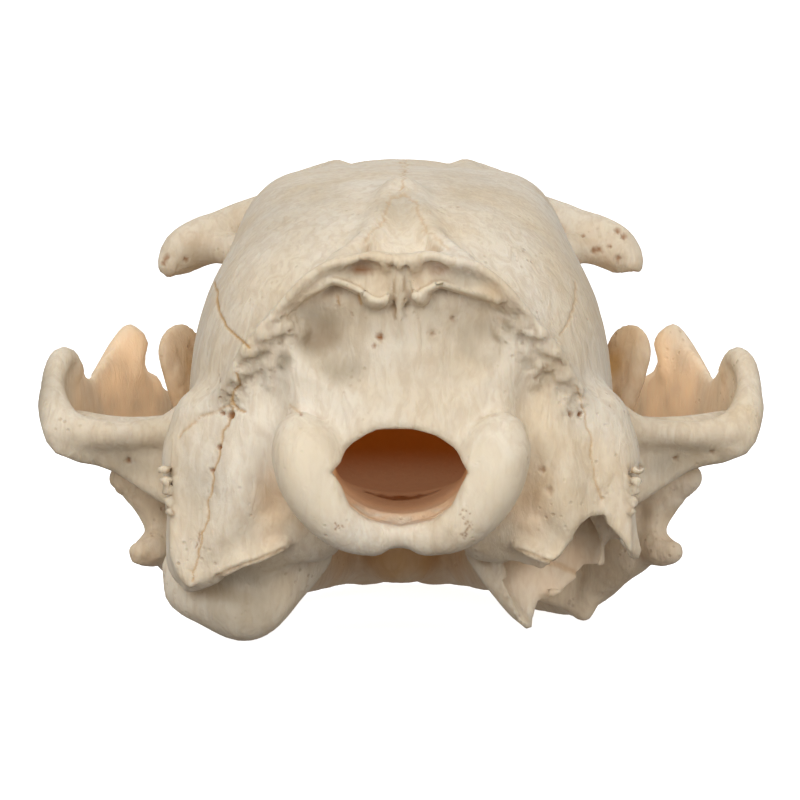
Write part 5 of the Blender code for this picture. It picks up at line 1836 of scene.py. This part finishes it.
@dataclass(frozen=True)
class BoneFinish:
    """Dry cleaned bone: pale and a little waxy, with painted shade in its hollows, and painted light, given
    off as emission, on the inside of the braincase and where the tan mask lies.
    """

    name: str
    pale: Shade
    warm: Shade
    # Colour of the tan mask: a warm tint that paints warm light and shade in recesses.
    tan: Shade
    # Colour of the fibre streaks and pores, and of the painted shade in hollows and creases.
    grain_and_shade: Shade
    # Colour of stained patches, and of painted shade where that mask darkens dips and undersides.
    stain_and_shade: Shade = (150, 136, 112)
    polish: Shade = (232, 218, 192)
    # Colour of cracks and sutures, and of painted shade under the skull and on the jaw.
    seam_and_shade: Shade = (188, 140, 66)
    # Colour of pits, and of painted shade in the back plate's left dip and the crest's pockets.
    pit: Shade = (146, 92, 40)
    # Warm tint of the braincase's inside: with the painted emission it stands in for light through the thin
    # bone.
    inner: Shade = (236, 190, 132)
    fibres: float = 1.0
    pores: float = 1.0
    bump: float = 0.6
    # How strong the painted shade in hollows and creases is.
    hollow_shade: float = 0.8
    # Painted light: emission given off where the tan mask lies.
    painted_glow: tuple[float, float, float] = (0.0, 0.0, 0.0)

    def make(self, grain: bpy.types.NodeTree, stains_and_painted_light: bpy.types.NodeTree) -> bpy.types.Material:
        """The bone's material, made from the two shared groups."""
        material, wiring, shader = new_material(self.name)
        place = wiring.node("ShaderNodeTexCoord").outputs["Object"]
        mask = {layer: wiring.attribute(layer) for layer in Layer}
        fibres = wiring.node("ShaderNodeGroup", node_tree=grain)
        smooth = wiring.math("MAXIMUM", mask[Layer.POLISH], mask[Layer.INNER_GLOW])
        wiring.fill(fibres, {"Place": place, "Fibres": self.fibres, "Pores": self.pores, "Smooth": smooth})
        clouds, shade = fibres.outputs["Clouds"], fibres.outputs["Fibre Shade"]
        base = wiring.blend(wiring.spread(clouds, 0.35, 0.68), tone(*self.pale), tone(*self.warm))
        streak = wiring.spread(shade, 0.42, 0.6, 0.0, 0.26 * self.fibres)
        base = wiring.blend(streak, base, tone(*self.grain_and_shade))
        base = wiring.blend(wiring.times(fibres.outputs["Pore Shade"], 0.4), base, tone(*self.grain_and_shade))
        layers = wiring.node("ShaderNodeGroup", node_tree=stains_and_painted_light)
        # Painted shade in hollows and creases, mostly taken away where the tan mask paints warm light.
        hollow_shade = wiring.spread(mask[Layer.HOLLOW_SHADE], 0.42, 0.95, 0.0, self.hollow_shade)
        wiring.fill(layers, {
            "Base": base, "Hollow Shade": wiring.times(hollow_shade, wiring.spread(mask[Layer.TAN], 0.0, 1.0, 1.0, 0.1)),
            "Tan Light And Shade": wiring.times(mask[Layer.TAN], 0.85), "Stain And Shade": mask[Layer.STAIN_AND_SHADE],
            "Polish": mask[Layer.POLISH], "Seam": mask[Layer.SEAM], "Pit": mask[Layer.PIT_AND_SHADE],
            "Inner Glow": mask[Layer.INNER_GLOW],
        })
        shades = {
            "Hollow Shade": self.grain_and_shade, "Tan Light And Shade": self.tan, "Stain And Shade": self.stain_and_shade, "Polish": self.polish,
            "Seam": self.seam_and_shade, "Pit": self.pit, "Inner Glow": self.inner,
        }
        wiring.fill(layers, {f"{name} Colour": tone(*shade) for name, shade in shades.items()})
        matt = wiring.spread(clouds, 0.3, 0.7, 0.52, 0.62)
        rough = wiring.math("SUBTRACT", matt, wiring.times(mask[Layer.POLISH], 0.14))
        # Painted light given off as emission: a faint orange on the inside of the braincase, and the finish's
        # painted emission where the tan mask lies.
        painted_glow = wiring.blend(mask[Layer.INNER_GLOW], (0.0, 0.0, 0.0), (0.024, 0.0085, 0.0008))
        painted_glow = wiring.blend(1.0, painted_glow, wiring.blend(mask[Layer.TAN], (0.0, 0.0, 0.0), self.painted_glow), "ADD")
        relief = {"Strength": self.bump, "Distance": 0.00035, "Height": fibres.outputs["Height"]}
        wiring.fill(shader, {
            "Base Color": layers.outputs["Colour"], "Roughness": rough, "Emission Color": painted_glow,
            "Emission Strength": 1.0, "Specular IOR Level": 0.36, "Subsurface Weight": 0.12,
            "Subsurface Radius": (0.0022, 0.0014, 0.0007), "Subsurface Scale": 1.0,
            "Normal": wiring.node("ShaderNodeBump", relief).outputs[0],
        })
        return material


@dataclass(frozen=True)
class EnamelFinish:
    """Smooth ivory enamel that browns towards the root."""

    name: str = "enamel"
    tip: Shade = (238, 229, 208)
    neck: Shade = (206, 178, 128)
    streak: Shade = (190, 160, 112)

    def make(self, grain: bpy.types.NodeTree) -> bpy.types.Material:
        """The teeth's material."""
        material, wiring, shader = new_material(self.name)
        place = wiring.node("ShaderNodeTexCoord").outputs["Object"]
        fibres = wiring.node("ShaderNodeGroup", node_tree=grain)
        wiring.fill(fibres, {"Place": place, "Fibres": 0.35, "Pores": 0.0})
        base = wiring.blend(wiring.attribute(Layer.STAIN_AND_SHADE), tone(*self.tip), tone(*self.neck))
        drawn = wiring.stretched(place, (1.0, 1.0, 0.12))
        lines = wiring.spread(wiring.noise(drawn, 2400.0, 2.0), 0.5, 0.72, 0.0, 0.4)
        relief = {"Strength": 0.12, "Distance": 0.0002, "Height": fibres.outputs["Height"]}
        wiring.fill(shader, {
            "Base Color": wiring.blend(lines, base, tone(*self.streak)),
            "Roughness": wiring.spread(fibres.outputs["Clouds"], 0.3, 0.7, 0.22, 0.34),
            "Subsurface Weight": 0.1, "Subsurface Radius": (0.0016, 0.0012, 0.0008), "Subsurface Scale": 1.0,
            "Normal": wiring.node("ShaderNodeBump", relief).outputs[0],
        })
        return material


@dataclass
class Studio:
    """The pale sweep, the soft lights and the camera behind the skull."""

    lens: float = 361.5
    shift: float = -1.0 / 800.0
    aim: Point = (0.0, -25.0, 26.6)
    sweep: float = 2.4

    def build(self) -> None:
        """Sets everything up."""
        self._sweep()
        self._light("overhead", (-0.25, -0.8, 0.75), (0.0, -0.05, 0.03), 0.5, 2.05)
        self._light("behind_left", (-0.45, -1.0, 0.34), (0.0, -0.05, 0.03), 0.5, 3.3)
        self._light("behind_right", (0.5, -1.0, 0.3), (0.0, -0.05, 0.03), 0.5, 3.3)
        self._light("far_side", (0.1, 0.95, 0.7), (0.0, 0.0, 0.03), 0.7, 0.8)
        self._air()
        self._camera()

    def _sweep(self) -> None:
        """A floor that curves up into a wall on every side, far from the skull."""
        rings, sides, bend = 22, 96, 0.6
        points, faces = [(0.0, 0.0, 0.0)], []
        for ring in range(1, rings + 1):
            share = ring / rings
            if share < 0.6:
                reach, height = self.sweep * share / 0.6, 0.0
            else:
                angle = (share - 0.6) / 0.4 * math.pi / 2.0
                reach, height = self.sweep + bend * math.sin(angle), bend * (1.0 - math.cos(angle))
            for side in range(sides):
                turn = 2.0 * math.pi * side / sides
                points.append((reach * math.cos(turn), reach * math.sin(turn), height))
        for side in range(sides):
            faces.append((0, 1 + side, 1 + (side + 1) % sides))
        for ring in range(rings - 1):
            for side in range(sides):
                a, b = 1 + ring * sides + side, 1 + ring * sides + (side + 1) % sides
                faces.append((a, a + sides, b + sides, b))
        mesh = bpy.data.meshes.new("floor_sweep")
        mesh.from_pydata(points, [], faces)
        mesh.polygons.foreach_set("use_smooth", np.ones(len(mesh.polygons), bool))
        material, wiring, shader = new_material("floor_paper")
        wiring.fill(shader, {
            "Base Color": (0.92, 0.92, 0.92), "Roughness": 0.9, "Specular IOR Level": 0.0,
            "Emission Color": (1.0, 1.0, 1.0), "Emission Strength": 0.9,
        })
        mesh.materials.append(material)
        floor = bpy.data.objects.new("floor_sweep", mesh)
        bpy.context.scene.collection.objects.link(floor)
        floor.visible_diffuse = False
        floor.visible_glossy = False
        floor.visible_transmission = False

    @staticmethod
    def _light(name: str, place: Point, target: Point, size: float, power: float) -> None:
        """One square soft light."""
        lamp = bpy.data.lights.new(name, "AREA")
        lamp.size = size
        lamp.energy = power
        lamp.color = (1.0, 0.99, 0.97)
        holder = bpy.data.objects.new(name, lamp)
        holder.location = place
        holder.rotation_euler = (Vector(target) - Vector(place)).to_track_quat("-Z", "Y").to_euler()
        bpy.context.scene.collection.objects.link(holder)

    @staticmethod
    def _air() -> None:
        """The light of a white room: bright from above, dimmer from the ground."""
        scene = bpy.context.scene
        world = bpy.data.worlds.new("white_room")
        world.use_nodes = True
        wiring = Wiring(world.node_tree)
        back = world.node_tree.nodes["Background"]
        place = wiring.node("ShaderNodeTexCoord").outputs["Generated"]
        way = wiring.node("ShaderNodeSeparateXYZ", {"Vector": place})
        height = wiring.spread(way.outputs["Z"], -0.5, 0.7)
        air = wiring.blend(height, (0.36, 0.33, 0.31), (1.0, 0.99, 0.98))
        wiring.fill(back, {"Color": air, "Strength": 0.6})
        scene.world = world
        scene.view_settings.view_transform = "Standard"

    def _camera(self) -> None:
        """The camera, a long way behind the skull and a little above it."""
        lens = bpy.data.cameras.new("camera")
        lens.lens = self.lens
        lens.sensor_width = 36.0
        lens.sensor_fit = "HORIZONTAL"
        lens.shift_x = self.shift
        lens.clip_start = 0.05
        lens.clip_end = 20.0
        holder = bpy.data.objects.new("camera", lens)
        holder.location = Vector(EYE) * MM
        holder.rotation_euler = (Vector(self.aim) * MM - holder.location).to_track_quat("-Z", "Y").to_euler()
        bpy.context.scene.collection.objects.link(holder)
        bpy.context.scene.camera = holder


def report(piece: bpy.types.Object, node: str) -> None:
    """Ties a piece to the skull's body, hides the imported part that it stands for, and writes a line about
    it.
    """
    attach(piece, ROOT)
    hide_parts(node)
    log.info("%s stands for %s with %d faces", piece.name, node, len(piece.data.polygons))


def main() -> None:
    """Builds the skull, its teeth and the studio."""
    logging.basicConfig(level=logging.INFO, format="%(message)s")
    grain, stains_and_painted_light = bone_grain_group(), stains_and_painted_light_group()
    # The skull's finish gives off painted light where its tan mask lies; the jaw's finish paints less shade
    # into its hollows.
    bone_finish = BoneFinish(
        "bone", (232, 222, 204), (226, 209, 181), (244, 206, 162), (178, 148, 112), painted_glow=(0.27, 0.182, 0.108),
    )
    jaw_finish = BoneFinish(
        "jaw_bone", (236, 221, 198), (230, 208, 174), (214, 168, 114), (178, 148, 118), bump=0.5, hollow_shade=0.35,
    )
    bone, jaw = bone_finish.make(grain, stains_and_painted_light), jaw_finish.make(grain, stains_and_painted_light)
    enamel = EnamelFinish().make(grain)
    Studio().build()
    report(Cranium().build(bone), "cranium")
    report(Mandible().build(jaw), "mandible")
    for tooth in (*UPPER_TEETH, *LOWER_TEETH):
        report(tooth.build(enamel), tooth.node)


if __name__ == "__main__":
    main()
